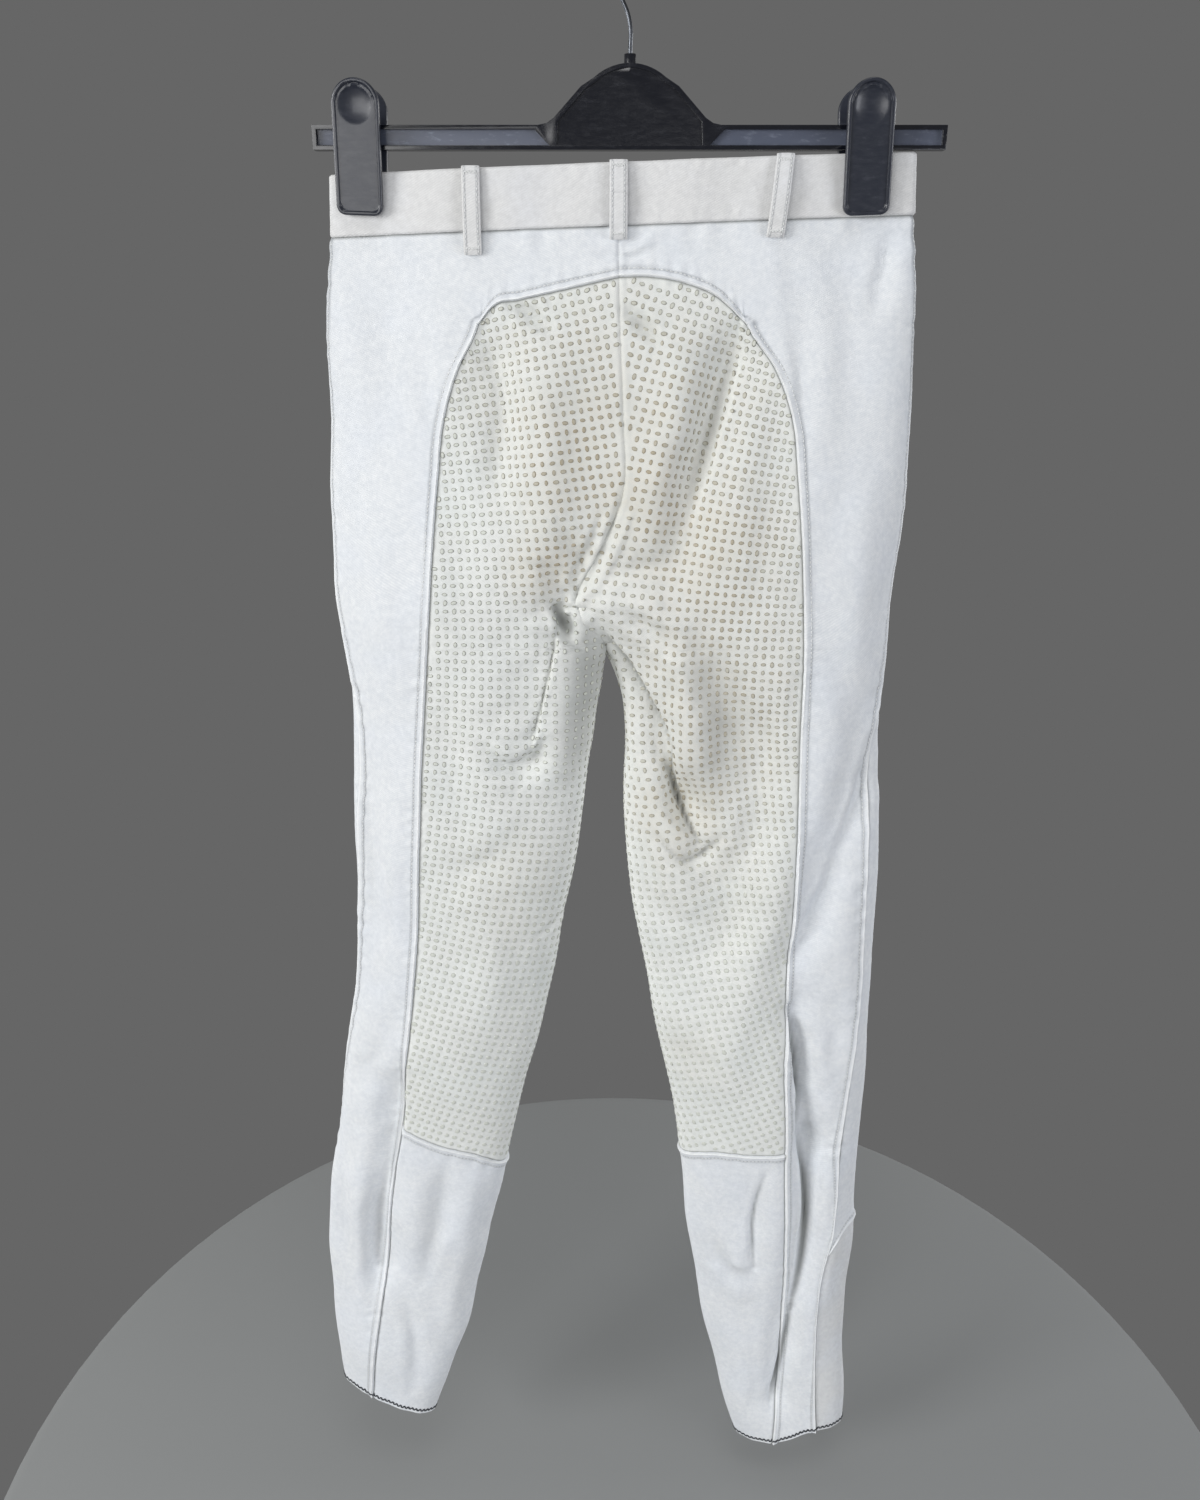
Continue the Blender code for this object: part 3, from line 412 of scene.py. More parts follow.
# Panels as blocks of the grid: first and last row line, first and last column line
PANEL_BLOCKS = {
    "back_panel": (("yoke", "seat", "seat", "outer"), ("yoke", "end", "outer", "ankle")),
    "silicone_seat": (("seat", "calf", "seat", "outer"), ("thigh", "calf", "inner", "end")),
    "calf_panel": (("calf", "end", "seat", "outer"), ("calf", "end", "inner", "end")),
    "front_panel": (("yoke", "hem", "ankle", "front"), ("yoke", "end", "front", "inner"),
                    ("yoke", "thigh", "inner", "end")),
    "ankle_panel": (("hem", "end", "ankle", "front"),),
}


def smooth(value: np.ndarray, low: float, high: float) -> np.ndarray:
    """Smooth step from 0 at low to 1 at high: 3t^2 - 2t^3.

    Args:
        value: where it is wanted.
        low: start of the step.
        high: end of the step, which may lie below low.

    Returns:
        Values from 0 to 1.
    """
    t = np.clip((value - low) / (high - low), 0.0, 1.0)
    return t * t * (3 - 2 * t)


def bell(value: np.ndarray, width: float | np.ndarray) -> np.ndarray:
    """Bell curve exp(-(value / width)^2)."""
    return np.exp(-(value / width) ** 2)


def unit(vectors: np.ndarray) -> np.ndarray:
    """Vectors of length one, along the last axis."""
    return vectors / np.maximum(np.linalg.norm(vectors, axis=-1, keepdims=True), 1e-12)


def signed_power(value: np.ndarray, power: float) -> np.ndarray:
    """Power of a number's size with the number's own sign."""
    return np.sign(value) * np.abs(value) ** power


def circle(count: int, start: float = 0.0) -> np.ndarray:
    """Evenly spaced points of a unit circle, each (cos, sin) of its angle from the start."""
    angle = np.arange(count) * (2 * np.pi / count) + start
    return np.stack((np.cos(angle), np.sin(angle)), axis=-1)


def running_length(points: np.ndarray, axis: int = 0) -> np.ndarray:
    """Length along a path, or along a grid's lines, at each point from the first: the sum of its steps."""
    steps = np.linalg.norm(np.diff(points, axis=axis), axis=-1)
    first = np.zeros_like(np.take(steps, [0], axis=axis))
    return np.concatenate((first, np.cumsum(steps, axis=axis)), axis=axis)


def point_numbers(shape: tuple[int, ...]) -> np.ndarray:
    """Number of each point of a grid, row by row."""
    return np.arange(shape[0] * shape[1]).reshape(shape[:2])


def grid_quads(numbers: np.ndarray) -> np.ndarray:
    """Corners of every cell of a grid of point numbers, as rows by columns by 4."""
    return np.stack((numbers[:-1, :-1], numbers[:-1, 1:], numbers[1:, 1:], numbers[1:, :-1]), axis=-1)


def ripple(points: np.ndarray, wavelength: float, seed: int) -> np.ndarray:
    """Soft uneven waves, from -1 to 1 or so: a sum of sines along seeded directions.

    Args:
        points: places, in millimetres, with any number of axes before the last.
        wavelength: usual distance between crests.
        seed: makes one pattern differ from another.

    Returns:
        One height for each point.
    """
    chance = np.random.default_rng(seed)
    waves = 9
    ways = unit(chance.normal(size=(waves, points.shape[-1])))
    lengths = wavelength * chance.uniform(0.7, 1.6, waves)
    phases = chance.uniform(0.0, 2 * np.pi, waves)
    total = np.zeros(points.shape[:-1])
    for way, length, phase in zip(ways, lengths, phases):
        total += np.sin(points @ way * (2 * np.pi / length) + phase)
    return total / math.sqrt(waves)


@dataclass(frozen=True)
class Curve:
    """Smooth function through points, held constant past its ends: cubics with matched slopes."""

    at: np.ndarray
    values: np.ndarray

    @classmethod
    def through(cls, at: Sequence[float], values: Sequence[float]) -> "Curve":
        """Curve through values at places given in any order."""
        order = np.argsort(at)
        return cls(np.asarray(at, float)[order], np.asarray(values, float)[order])

    def __call__(self, where: np.ndarray) -> np.ndarray:
        """Value at each place, by the cubic between the two points that it lies between."""
        slopes = np.gradient(self.values, self.at)
        where = np.clip(where, self.at[0], self.at[-1])
        low = np.clip(np.searchsorted(self.at, where) - 1, 0, len(self.at) - 2)
        span = self.at[low + 1] - self.at[low]
        t = (where - self.at[low]) / span
        rise = self.values[low + 1] - self.values[low]
        bend_in = slopes[low] * span - rise
        bend_out = rise - slopes[low + 1] * span
        return self.values[low] + t * rise + t * (1 - t) * ((1 - t) * bend_in + t * bend_out)


def waist_height(x: np.ndarray | float) -> np.ndarray | float:
    """Height of the waist seam at an x: the garment hangs a little tilted."""
    return WAIST_Z + BAND_TILT * x


def fold_depth(folds: list[Fold], x: np.ndarray, z: np.ndarray) -> np.ndarray:
    """Sum of the large folds: each a bell across its line that fades past its ends.

    Args:
        folds: the folds of one face.
        x: where it is wanted.
        z: the same points' heights.

    Returns:
        Depth to add at each point.
    """
    total = np.zeros(np.broadcast(x, z).shape)
    for fold in folds:
        run = np.array((fold.x1 - fold.x0, fold.z1 - fold.z0))
        length = np.hypot(*run)
        along = ((x - fold.x0) * run[0] + (z - fold.z0) * run[1]) / length
        across = ((x - fold.x0) * run[1] - (z - fold.z0) * run[0]) / length
        past_end = np.maximum(np.maximum(-along, along - length), 0.0)
        total += fold.depth * np.exp(-(across / fold.width) ** 2 - (past_end / (1.5 * fold.width)) ** 2)
    return total


def crease_height(crease: Crease, x: np.ndarray, z: np.ndarray) -> tuple[np.ndarray, np.ndarray]:
    """Height that a crease adds at points of the flat drawing, and the shade that it paints on them.

    Its path is the quadratic curve start (1-t)^2 + via 2t(1-t) + end t^2 that passes its middle. Across the
    path it is a bell with a width for each flank, and a trough's flanks rise into a low lip. Along the path
    it swells and fades as sin(pi t) to a small power, and its width wavers a little.

    Args:
        crease: the crease.
        x: where it is wanted.
        z: the same points' heights.

    Returns:
        The height and the painted shade at each point.
    """
    start, middle, end = (np.array(point, float) for point in (crease.start, crease.middle, crease.end))
    via = 2 * middle - (start + end) / 2
    t = np.linspace(0.0, 1.0, 22)[:, None]
    path = start * (1 - t) ** 2 + via * 2 * t * (1 - t) + end * t ** 2
    total, crack = np.zeros(x.shape), np.zeros(x.shape)
    margin = 3.2 * max(crease.near, crease.far)
    low, high = path.min(axis=0) - margin, path.max(axis=0) + margin
    inside = (x > low[0]) & (x < high[0]) & (z > low[1]) & (z < high[1])
    if not inside.any():
        return total, crack
    place = np.stack((x[inside], z[inside]), axis=-1)
    run = np.diff(path, axis=0)
    length = np.linalg.norm(run, axis=1)
    offset = place[:, None] - path[None, :-1]
    share = np.clip(np.einsum("psk,sk->ps", offset, run) / length ** 2, 0.0, 1.0)
    away = offset - share[..., None] * run
    nearest = np.argmin(np.einsum("psk,psk->ps", away, away), axis=1)
    rows = np.arange(len(place))
    away = away[rows, nearest]
    way = (run / length[:, None])[nearest]
    distance = np.hypot(away[:, 0], away[:, 1])
    left = way[:, 0] * away[:, 1] - way[:, 1] * away[:, 0] > 0
    along = (nearest + share[rows, nearest]) / len(run)
    waver = 1 + 0.16 * np.sin(along * 9.0 + crease.start[0]) + 0.09 * np.sin(along * 23.0 + crease.end[1])
    width = np.where(left, crease.far, crease.near) * waver
    fade = np.sin(np.pi * np.clip(along, 0.04, 0.96)) ** 0.55
    past_end = np.where((along <= 0) | (along >= 1), distance, 0.0)
    height = bell(distance, width) - 0.22 * bell(distance - 2.0 * width, 0.9 * width)
    fade = fade * bell(past_end, 0.8 * max(crease.near, crease.far))
    total[inside] = crease.depth * height * fade
    # painted shade along the crease's bottom, fading along it and past its ends
    dark = crease.crack * bell(distance, crease.crack_width) * fade
    crack[inside] = dark * bell(past_end, crease.crack_width)
    return total, crack


def stations(run: Run) -> np.ndarray:
    """Shares of a run at which grid lines lie: close together beside its seams, a step apart between."""
    near = SEAM_STATIONS
    inner = run.length - 2 * near[-1]
    middle = np.linspace(near[-1], run.length - near[-1], max(round(inner / run.step), 2) + 1)
    return np.concatenate((near[:-1], middle, (run.length - near[:-1])[::-1]))[:-1] / run.length


def line_starts(runs: tuple[Run, ...]) -> dict[str, int]:
    """Grid line where each run begins, by name, with the last line as 'end'."""
    lines = {}
    count = 0
    for run in runs:
        lines[run.name] = count
        count += len(stations(run))
    lines["end"] = count
    return lines


COLUMN = line_starts(COLUMN_RUNS)
ROW = line_starts(ROW_RUNS)


@dataclass
class HalfForm:
    """One half of the breeches as a smooth surface of turn and height, in millimetres."""

    name: str
    side: int
    sections: list[Section]
    seams: list[Seam]
    lines: dict[str, tuple[tuple[float, float], ...]]
    curve: dict[str, Curve] = field(init=False)

    def __post_init__(self) -> None:
        """Fit the smooth functions through the tables."""
        self.curve = {key: Curve.through(*zip(*points)) for key, points in self.lines.items()}
        for table in (self.sections, self.seams):
            heights = [row.z for row in table]
            for key in [part.name for part in fields(table[0])][1:]:
                self.curve[key] = Curve.through(heights, [getattr(row, key) for row in table])

    def parting(self, z: np.ndarray) -> np.ndarray:
        """0 at the waist, where one oval goes round both halves, and 1 where the legs have parted."""
        return np.clip((WAIST_Z - z) / (WAIST_Z - CROTCH_Z), 0.0, 1.0) ** PARTING_POWER

    def start_turn(self, z: np.ndarray) -> np.ndarray:
        """Turn of the centre seam above the crotch, and of the inner leg, 180 degrees, below it."""
        return np.degrees(np.arccos(-(self.parting(z) ** (SQUARENESS / 2))))

    def spread(self, turn: np.ndarray, z: np.ndarray) -> tuple[np.ndarray, np.ndarray]:
        """Signed x of the half's own axis, and its half-width, at a turn and height."""
        inner = np.where(turn >= 0, self.curve["inner_back"](z), self.curve["inner_front"](z))
        outer = self.curve["outer"](z) - self.side * CLOTH
        inner = inner + self.side * CLOTH * np.clip((CROTCH_Z - z) / CROTCH_ROUNDING, 0.0, 1.0)
        half_width = (outer - inner) / (1 + self.parting(z))
        return inner + self.parting(z) * half_width, half_width

    def surface(self, turn: np.ndarray, z: np.ndarray) -> np.ndarray:
        """Point of the inner face: a superellipse round the half's axis, with large folds in its depth."""
        axis_x, half_width = self.spread(turn, z)
        angle = np.radians(turn)
        power = 2 / SQUARENESS
        x = axis_x + half_width * signed_power(np.cos(angle), power)
        back = self.curve["back"](z) + fold_depth(BACK_FOLDS, x, z)
        front = self.curve["front"](z) + fold_depth(FRONT_FOLDS, x, z)
        depth = np.maximum(np.where(turn >= 0, back, front), FOLD_FLOOR)
        y = -depth * signed_power(np.sin(angle), power)
        return np.stack(np.broadcast_arrays(x, y, z), axis=-1)

    def column_turns(self, z: np.ndarray) -> np.ndarray:
        """Turn of every grid column; row r of z gives the columns' heights."""
        start = self.start_turn(z)
        side = self.curve["side"](z)
        axis_x, half_width = self.spread(np.full_like(z, 90.0), z)
        share = np.clip((self.curve["seat"](z) - axis_x) / half_width, -0.98, 0.98)
        seat = np.degrees(np.arccos(signed_power(share, SQUARENESS / 2)))
        inseam = -FRONT_INSEAM * start
        ankle = side + ANKLE_SHARE * (inseam - side)
        knots = (start, seat, side, ankle, inseam, -start)
        turns = []
        for low, high, run in zip(knots, knots[1:], COLUMN_RUNS):
            columns = slice(COLUMN[run.name], COLUMN[run.name] + len(stations(run)))
            share = stations(run)
            turns.append((1 - share) * low[:, columns] + share * high[:, columns])
        return np.concatenate((*turns, -start[:, -1:]), axis=1)

    def line_heights(self, line: Callable[[np.ndarray], np.ndarray], guess: float) -> np.ndarray:
        """Heights at which the columns cross a line that is drawn over x, found by halving steps.

        Args:
            line: the line's height at an x.
            guess: its usual height.

        Returns:
            One height for each column.
        """
        z = np.full((1, COLUMN["end"] + 1), float(guess))
        for _ in range(14):
            z = 0.5 * z + 0.5 * line(self.surface(self.column_turns(z), z)[..., 0])
        return z[0]


def gradient_normals(points: np.ndarray, side: int, closed_rows: slice | None = None) -> np.ndarray:
    """Outward normals of a grid: cross products of its directions down and round.

    Args:
        points: grid of points, rows down and columns round.
        side: -1 or 1, the way the columns run.
        closed_rows: rows whose last column is their first.

    Returns:
        Unit normals.
    """
    down, onward = (unit(np.gradient(points, axis=axis)) for axis in (0, 1))
    if closed_rows is not None:
        joined = unit(points[closed_rows, 1] - points[closed_rows, 0])
        joined += unit(points[closed_rows, -1] - points[closed_rows, -2])
        onward[closed_rows, 0] = onward[closed_rows, -1] = joined
    return unit(side * np.cross(down, onward))


class HalfCloth:
    """Fine grid of one half: its sheet with all creases, and how far each point lies from each seam."""

    def __init__(self, form: HalfForm) -> None:
        """Lay the grid on the form, crease it and measure it.

        Args:
            form: the half's smooth surface.
        """
        self.form = form
        z = self.heights()
        self.turns = form.column_turns(z)
        self.base = form.surface(self.turns, z)
        legs = slice(ROW["thigh"], None)
        self.normals = gradient_normals(self.base, form.side, legs)
        self.normals[:ROW["thigh"] + 1, [0, -1], 0] = 0.0
        self.normals[ROW["thigh"], [0, -1]] = (0.0, 0.0, -1.0)
        self.normals = unit(self.normals)
        self.across = running_length(self.base, 1)
        self.down = running_length(self.base, 0)
        # the creases' height, and the shade painted at their bottoms
        self.creases, self.crack = self.crease_field()

    def heights(self) -> np.ndarray:
        """Heights of the grid's points, from the waist seam to the hem."""
        form = self.form
        crossings = (
            form.line_heights(waist_height, WAIST_Z),
            form.line_heights(form.curve["arch"], -200),
            np.full(COLUMN["end"] + 1, CROTCH_Z),
            form.line_heights(form.curve["cuff"], -780),
            form.line_heights(form.curve["ankle"], -870),
            form.line_heights(form.curve["hem"], -1040),
        )
        rows = []
        for low, high, run in zip(crossings, crossings[1:], ROW_RUNS):
            share = stations(run)[:, None]
            rows.append((1 - share) * low + share * high)
        return np.concatenate((*rows, crossings[-1][None]), axis=0)

    def crease_field(self) -> tuple[np.ndarray, np.ndarray]:
        """Height that creases and soft unevenness add along the normals, and the shade painted at the
        creases' bottoms.
        """
        x, z = self.base[..., 0], self.base[..., 2]
        facing = np.sin(np.radians(self.turns))
        total, crack = np.zeros(x.shape), np.zeros(x.shape)
        for crease in CREASES:
            weight = np.clip(0.5 + 2.0 * crease.face.value * facing, 0.0, 1.0)
            height, dark = crease_height(crease, x, z)
            total += CREASE_GAIN * weight * height
            # painted shade of the darkest crease at each point
            crack = np.maximum(crack, weight * dark)
        low_leg = smooth(z, -700.0, -900.0)
        total += (0.75 + 0.5 * low_leg) * ripple(self.base, 74.0, 11)
        total += 0.20 * ripple(self.base * (1.0, 1.0, 0.55), 26.0, 12)
        total += 0.05 * ripple(self.base, 9.0, 13)
        gather = np.hypot(x - GATHER[0], z - GATHER[1])
        bearing = np.arctan2(z - GATHER[1], x - GATHER[0])
        pleats = np.sin(7.0 * bearing + 0.09 * gather + self.form.side)
        total += 1.1 * pleats * smooth(gather, 3.0, 9.0) * smooth(gather, 46.0, 14.0) * (facing > -0.2)
        room = smooth(z, waist_height(x) - 1.0, waist_height(x) - 16.0)
        return total * (0.25 + 0.75 * room), crack

    def from_line(self, line: GridLine) -> tuple[np.ndarray, np.ndarray]:
        """Distance of every grid point from part of a grid line, and its place along that line.

        The distance is the hypotenuse of the length across the line and the length past its end.

        Args:
            line: the part of a grid line.

        Returns:
            Distances and places, in millimetres.
        """
        if line.way is Way.DOWN:
            number = COLUMN[line.line]
            side = self.across - self.across[:, number:number + 1]
            along = self.down
            first, last = along[ROW[line.first]][None], along[ROW[line.last]][None]
        else:
            number = ROW[line.line]
            side = self.down - self.down[number:number + 1]
            along = self.across
            first = along[:, COLUMN[line.first]][:, None]
            last = along[:, COLUMN[line.last]][:, None]
        past_end = np.maximum(np.maximum(first - along, along - last), 0.0)
        return np.hypot(side, past_end), along

    def seam_relief(self, panel: str) -> tuple[np.ndarray, np.ndarray, dict[str, np.ndarray]]:
        """Height that the seams add on one panel, and where they lie.

        A folded edge on top is rolled, stands proud as far as its stitches, dips at them and puckers
        beside them. What lies under it dips along the fold. At a plain seam both sides turn in.

        Args:
            panel: the panel's name.

        Returns:
            The height; the distance to the nearest seam; and by name, the marks that the finishes read:
            fold, a painted highlight on a rolled edge; the stitches' mark, painted shade under a row of
            stitches; and shade, painted shade beside the seams, under the waist seam and at the bottoms of
            creases.
        """
        total = np.zeros(self.across.shape)
        nearest = np.full(self.across.shape, 99.0)
        fold, painted_stitch_shade, shade = (np.zeros(self.across.shape) for _ in range(3))
        for number, seam in enumerate(SEAMS + PLAIN_SEAMS):
            if panel not in seam.upper + seam.lower:
                continue
            reach = np.full(self.across.shape, 99.0)
            along = np.zeros(self.across.shape)
            for line in seam.lines:
                distance, place = self.from_line(line)
                along = np.where(distance < reach, place, along)
                reach = np.minimum(distance, reach)
            nearest = np.minimum(nearest, reach)
            pucker = ripple(along[..., None], 11.0, 40 + number)
            if panel in seam.upper:
                total += LAP * smooth(reach, seam.stitch + 2.4, seam.stitch - 0.6)
                total += ROLL * bell(reach - 0.9, 0.75) - 0.55 * bell(reach - seam.stitch, 0.7)
                total -= 1.3 * bell(reach, 0.4)
                total += 0.34 * pucker * bell(reach - seam.stitch - 1.0, 4.4) * smooth(reach, 0.2, 1.6)
                # painted highlight along the rolled edge, and painted shade along its stitches
                fold = np.maximum(fold, bell(reach - 0.9, 0.65))
                painted_stitch_shade = np.maximum(painted_stitch_shade, bell(reach - seam.stitch, 0.7))
            elif seam.upper:
                total -= 0.5 * bell(reach, 1.2)
                total += 0.22 * pucker * bell(reach - 2.0, 4.0)
                # painted shadow that the folded edge casts on the panel under it
                shade = np.maximum(shade, bell(reach, 0.8))
            else:
                total -= 0.65 * bell(reach, 0.9)
                total += 0.28 * bell(reach - 2.4, 1.4) + 0.42 * pucker * bell(reach - 2.0, 4.6)
                # faint painted shade in the plain seam's hollow
                shade = np.maximum(shade, 0.2 * bell(reach, 0.5))
        waist, along = self.from_line(WAIST_SEAM)
        total += 0.42 * ripple(along[..., None], 17.0, 71) * bell(waist - 3.0, 9.0) - 0.7 * bell(waist, 1.6)
        # painted shadow under the waistband's lower edge
        shade = np.maximum(shade, bell(waist, 1.0))
        hem, along = self.from_line(HEM_EDGE)
        total += 0.30 * ripple(along[..., None], 13.0, 72) * bell(hem - 2.5, 4.5) - 0.6 * bell(hem, 0.5)
        nearest = np.minimum(nearest, np.minimum(waist, hem))
        # the creases' painted shade joins that of the seams
        return total, nearest, {"fold": fold, "painted_stitch_shade": painted_stitch_shade, "shade": np.maximum(shade, self.crack)}

    def offset(self, lift: np.ndarray | float) -> np.ndarray:
        """Grid moved out along its normals, in millimetres."""
        return self.base + self.normals * np.asarray(lift)[..., None]

    def skin(self, panel: str) -> np.ndarray:
        """Outer face of the cloth as one panel has it."""
        return self.offset(CLOTH + self.creases + self.seam_relief(panel)[0])

    def cells(self, panel: str) -> np.ndarray:
        """Which cells of the grid a panel takes."""
        taken = np.zeros((ROW["end"], COLUMN["end"]), bool)
        for top, bottom, first, last in PANEL_BLOCKS[panel]:
            taken[ROW[top]:ROW[bottom], COLUMN[first]:COLUMN[last]] = True
        return taken

    def vertex_numbers(self) -> np.ndarray:
        """Number of each grid point; from the crotch down the last column is the first."""
        numbers = point_numbers(self.across.shape)
        numbers[ROW["thigh"]:, -1] = numbers[ROW["thigh"]:, 0]
        return numbers

    def quads(self, cells: np.ndarray) -> np.ndarray:
        """Corner numbers of the cells that are taken, turned so that they face outward."""
        faces = grid_quads(self.vertex_numbers())[cells]
        return faces[:, ::-1] if self.form.side > 0 else faces

    def flat_places(self) -> np.ndarray:
        """Place of each grid point on the flat cloth, in metres."""
        return np.stack((self.across, -self.down), axis=-1).reshape(-1, 2) * MM


@dataclass
class MeshData:
    """Points, faces of equal size, and values at points for the materials."""

    points: np.ndarray
    faces: np.ndarray
    uv: np.ndarray | None = None
    values: dict[str, np.ndarray] = field(default_factory=dict)


def shell(outer: np.ndarray, inner: np.ndarray, quads: np.ndarray, uv: np.ndarray,
          values: dict[str, np.ndarray]) -> MeshData:
    """Closed thin shell: the outer face, the inner face turned round, and a strip along every free edge.

    Args:
        outer: points of the outer face.
        inner: points of the inner face, in the same order.
        quads: faces by point number.
        uv: flat place of each point, in metres.
        values: numbers at each point, by name.

    Returns:
        The shell, with its unused points left out.
    """
    edges = np.stack((quads, np.roll(quads, -1, axis=1)), axis=-1).reshape(-1, 2)
    edges = edges[edges[:, 0] != edges[:, 1]]
    base = len(outer) + 1
    codes = edges[:, 0] * base + edges[:, 1]
    free = edges[~np.isin(codes, edges[:, 1] * base + edges[:, 0])]
    count = len(outer)
    strip = np.stack((free[:, 0], free[:, 0] + count, free[:, 1] + count, free[:, 1]), axis=-1)
    faces = np.concatenate((quads, quads[:, ::-1] + count, strip))
    used, flat = np.unique(faces, return_inverse=True)
    both = {name: np.concatenate((value, value))[used] for name, value in values.items()}
    points = np.concatenate((outer, inner))[used]
    return MeshData(points, flat.reshape(faces.shape), np.concatenate((uv, uv))[used], both)


def make_object(name: str, data: MeshData, material: bpy.types.Material,
                sharp: float | None = None) -> bpy.types.Object:
    """Object at the origin from points in millimetres, shaded smooth.

    Args:
        name: the piece's name.
        data: its mesh.
        material: its finish.
        sharp: angle in degrees past which an edge stays sharp.

    Returns:
        The object, in the scene's collection.
    """
    mesh = bpy.data.meshes.new(name)
    faces = data.faces
    mesh.vertices.add(len(data.points))
    mesh.vertices.foreach_set("co", (data.points * MM).astype(np.float32).ravel())
    mesh.loops.add(faces.size)
    mesh.loops.foreach_set("vertex_index", faces.astype(np.int32).ravel())
    mesh.polygons.add(len(faces))
    mesh.polygons.foreach_set("loop_start", np.arange(0, faces.size, faces.shape[1], dtype=np.int32))
    mesh.polygons.foreach_set("use_smooth", np.ones(len(faces), bool))
    if data.uv is not None:
        layer = mesh.uv_layers.new(name="cloth")
        layer.data.foreach_set("uv", data.uv[faces.ravel()].astype(np.float32).ravel())
    for key, value in data.values.items():
        attribute = mesh.attributes.new(key, "FLOAT", "POINT")
        attribute.data.foreach_set("value", value.astype(np.float32))
    mesh.update(calc_edges=True)
    mesh.validate()
    if sharp is not None:
        mesh.set_sharp_from_angle(angle=math.radians(sharp))
    mesh.materials.append(material)
    obj = bpy.data.objects.new(name, mesh)
    bpy.context.scene.collection.objects.link(obj)
    return obj


def recalculate_normals(piece: bpy.types.Object) -> None:
    """Turn a closed piece's faces outward."""
    model = bmesh.new()
    model.from_mesh(piece.data)
    bmesh.ops.recalc_face_normals(model, faces=model.faces)
    model.to_mesh(piece.data)
    model.free()


def install(piece: bpy.types.Object, node: str | None = None) -> None:
    """Let a piece ride on the one body, in place of a solid if it has one.

    Args:
        piece: the finished piece.
        node: the solid that it replaces.
    """
    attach(piece, "root")
    if node:
        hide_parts(node)


def repeat(template: np.ndarray, faces: np.ndarray, origins: np.ndarray, axes: np.ndarray) -> MeshData:
    """One small shape at many places, as one mesh.

    Args:
        template: points of the shape, about its own origin.
        faces: its faces.
        origins: where each copy goes.
        axes: the three axes of each copy, already scaled, as rows.

    Returns:
        The joined mesh, with the template's height as the value "rise".
    """
    points = origins[:, None] + np.einsum("pk,nkj->npj", template, axes)
    joined = faces[None] + (np.arange(len(origins)) * len(template))[:, None, None]
    rise = np.tile(template[:, 2] / template[:, 2].max(), len(origins))
    return MeshData(points.reshape(-1, 3), joined.reshape(-1, faces.shape[1]), None, {"rise": rise})


def ring_solid(rings: np.ndarray) -> tuple[np.ndarray, np.ndarray]:
    """Closed shape through rings of equal count, whose first and last rings shrink to a point or a cap.

    Args:
        rings: rings by points by 3.

    Returns:
        Points and triangles, which face outward where the rings run anticlockwise seen from their end.
    """
    count, size = rings.shape[:2]
    points = np.concatenate((rings.reshape(-1, 3), rings[:1].mean(axis=1), rings[-1:].mean(axis=1)))
    step = np.arange(size)
    after = (step + 1) % size
    faces = []
    for ring in range(count - 1):
        low, high = ring * size, (ring + 1) * size
        faces.append(np.stack((low + step, low + after, high + after), axis=-1))
        faces.append(np.stack((low + step, high + after, high + step), axis=-1))
    first, last = count * size, count * size + 1
    top = (count - 1) * size
    faces.append(np.stack((after, step, np.full(size, first)), axis=-1))
    faces.append(np.stack((top + step, top + after, np.full(size, last)), axis=-1))
    return points, np.concatenate(faces)


def dot_template() -> tuple[np.ndarray, np.ndarray]:
    """Printed silicone dot: an eight-sided oval with steep sides and a domed top, of unit half-sizes."""
    rings = [np.column_stack((circle(8) * scale, np.full(8, height)))
             for scale, height in ((1.0, -0.25), (0.86, 0.72), (0.62, 0.98))]
    return ring_solid(np.array(rings))


def stitch_template() -> tuple[np.ndarray, np.ndarray]:
    """Stitch: a grain of thread along x, of unit half-length, sunk at both ends."""
    profile = ((-1.0, 0.45, -0.9), (-0.62, 0.95, 0.0), (0.62, 0.95, 0.0), (1.0, 0.45, -0.9))
    rings = [np.column_stack((np.full(5, x), circle(5, np.pi / 2) * scale + (0.0, sink)))
             for x, scale, sink in profile]
    return ring_solid(np.array(rings))


def tube(path: np.ndarray, radius: float, sides: int) -> MeshData:
    """Round tube carried along a path without twisting, rounded off at both ends by three smaller rings.

    Args:
        path: centre line.
        radius: of the tube.
        sides: round the tube.

    Returns:
        The closed tube.
    """
    way = unit(np.gradient(path, axis=0))
    first = np.array((0.0, 1.0, 0.0))
    across = unit(first - (way @ first)[:, None] * way)
    third = np.cross(way, across)
    rises, cap = np.array((0.25, 0.6, 0.85)), np.array((0.97, 0.8, 0.45))
    start = path[0] - way[0] * radius * rises[::-1, None]
    end = path[-1] + way[-1] * radius * rises[:, None]
    centres = np.concatenate((start, path, end))
    sizes = radius * np.concatenate((cap[::-1], np.ones(len(path)), cap))
    order = np.concatenate(((0, 0, 0), np.arange(len(path)), (-1, -1, -1)))
    axes = np.stack((across[order], third[order]), axis=1)
    rings = centres[:, None] + sizes[:, None, None] * (circle(sides) @ axes)
    return MeshData(*ring_solid(rings))


def linear(hex_colour: str) -> tuple[float, float, float, float]:
    """Linear colour of an sRGB hex value such as "#E0E4E7"."""
    channels = [int(hex_colour[i:i + 2], 16) / 255 for i in (1, 3, 5)]
    return (*[c / 12.92 if c <= 0.04045 else ((c + 0.055) / 1.055) ** 2.4 for c in channels], 1.0)


Source = bpy.types.NodeSocket | float | str
Inputs = dict[str | int, Source]


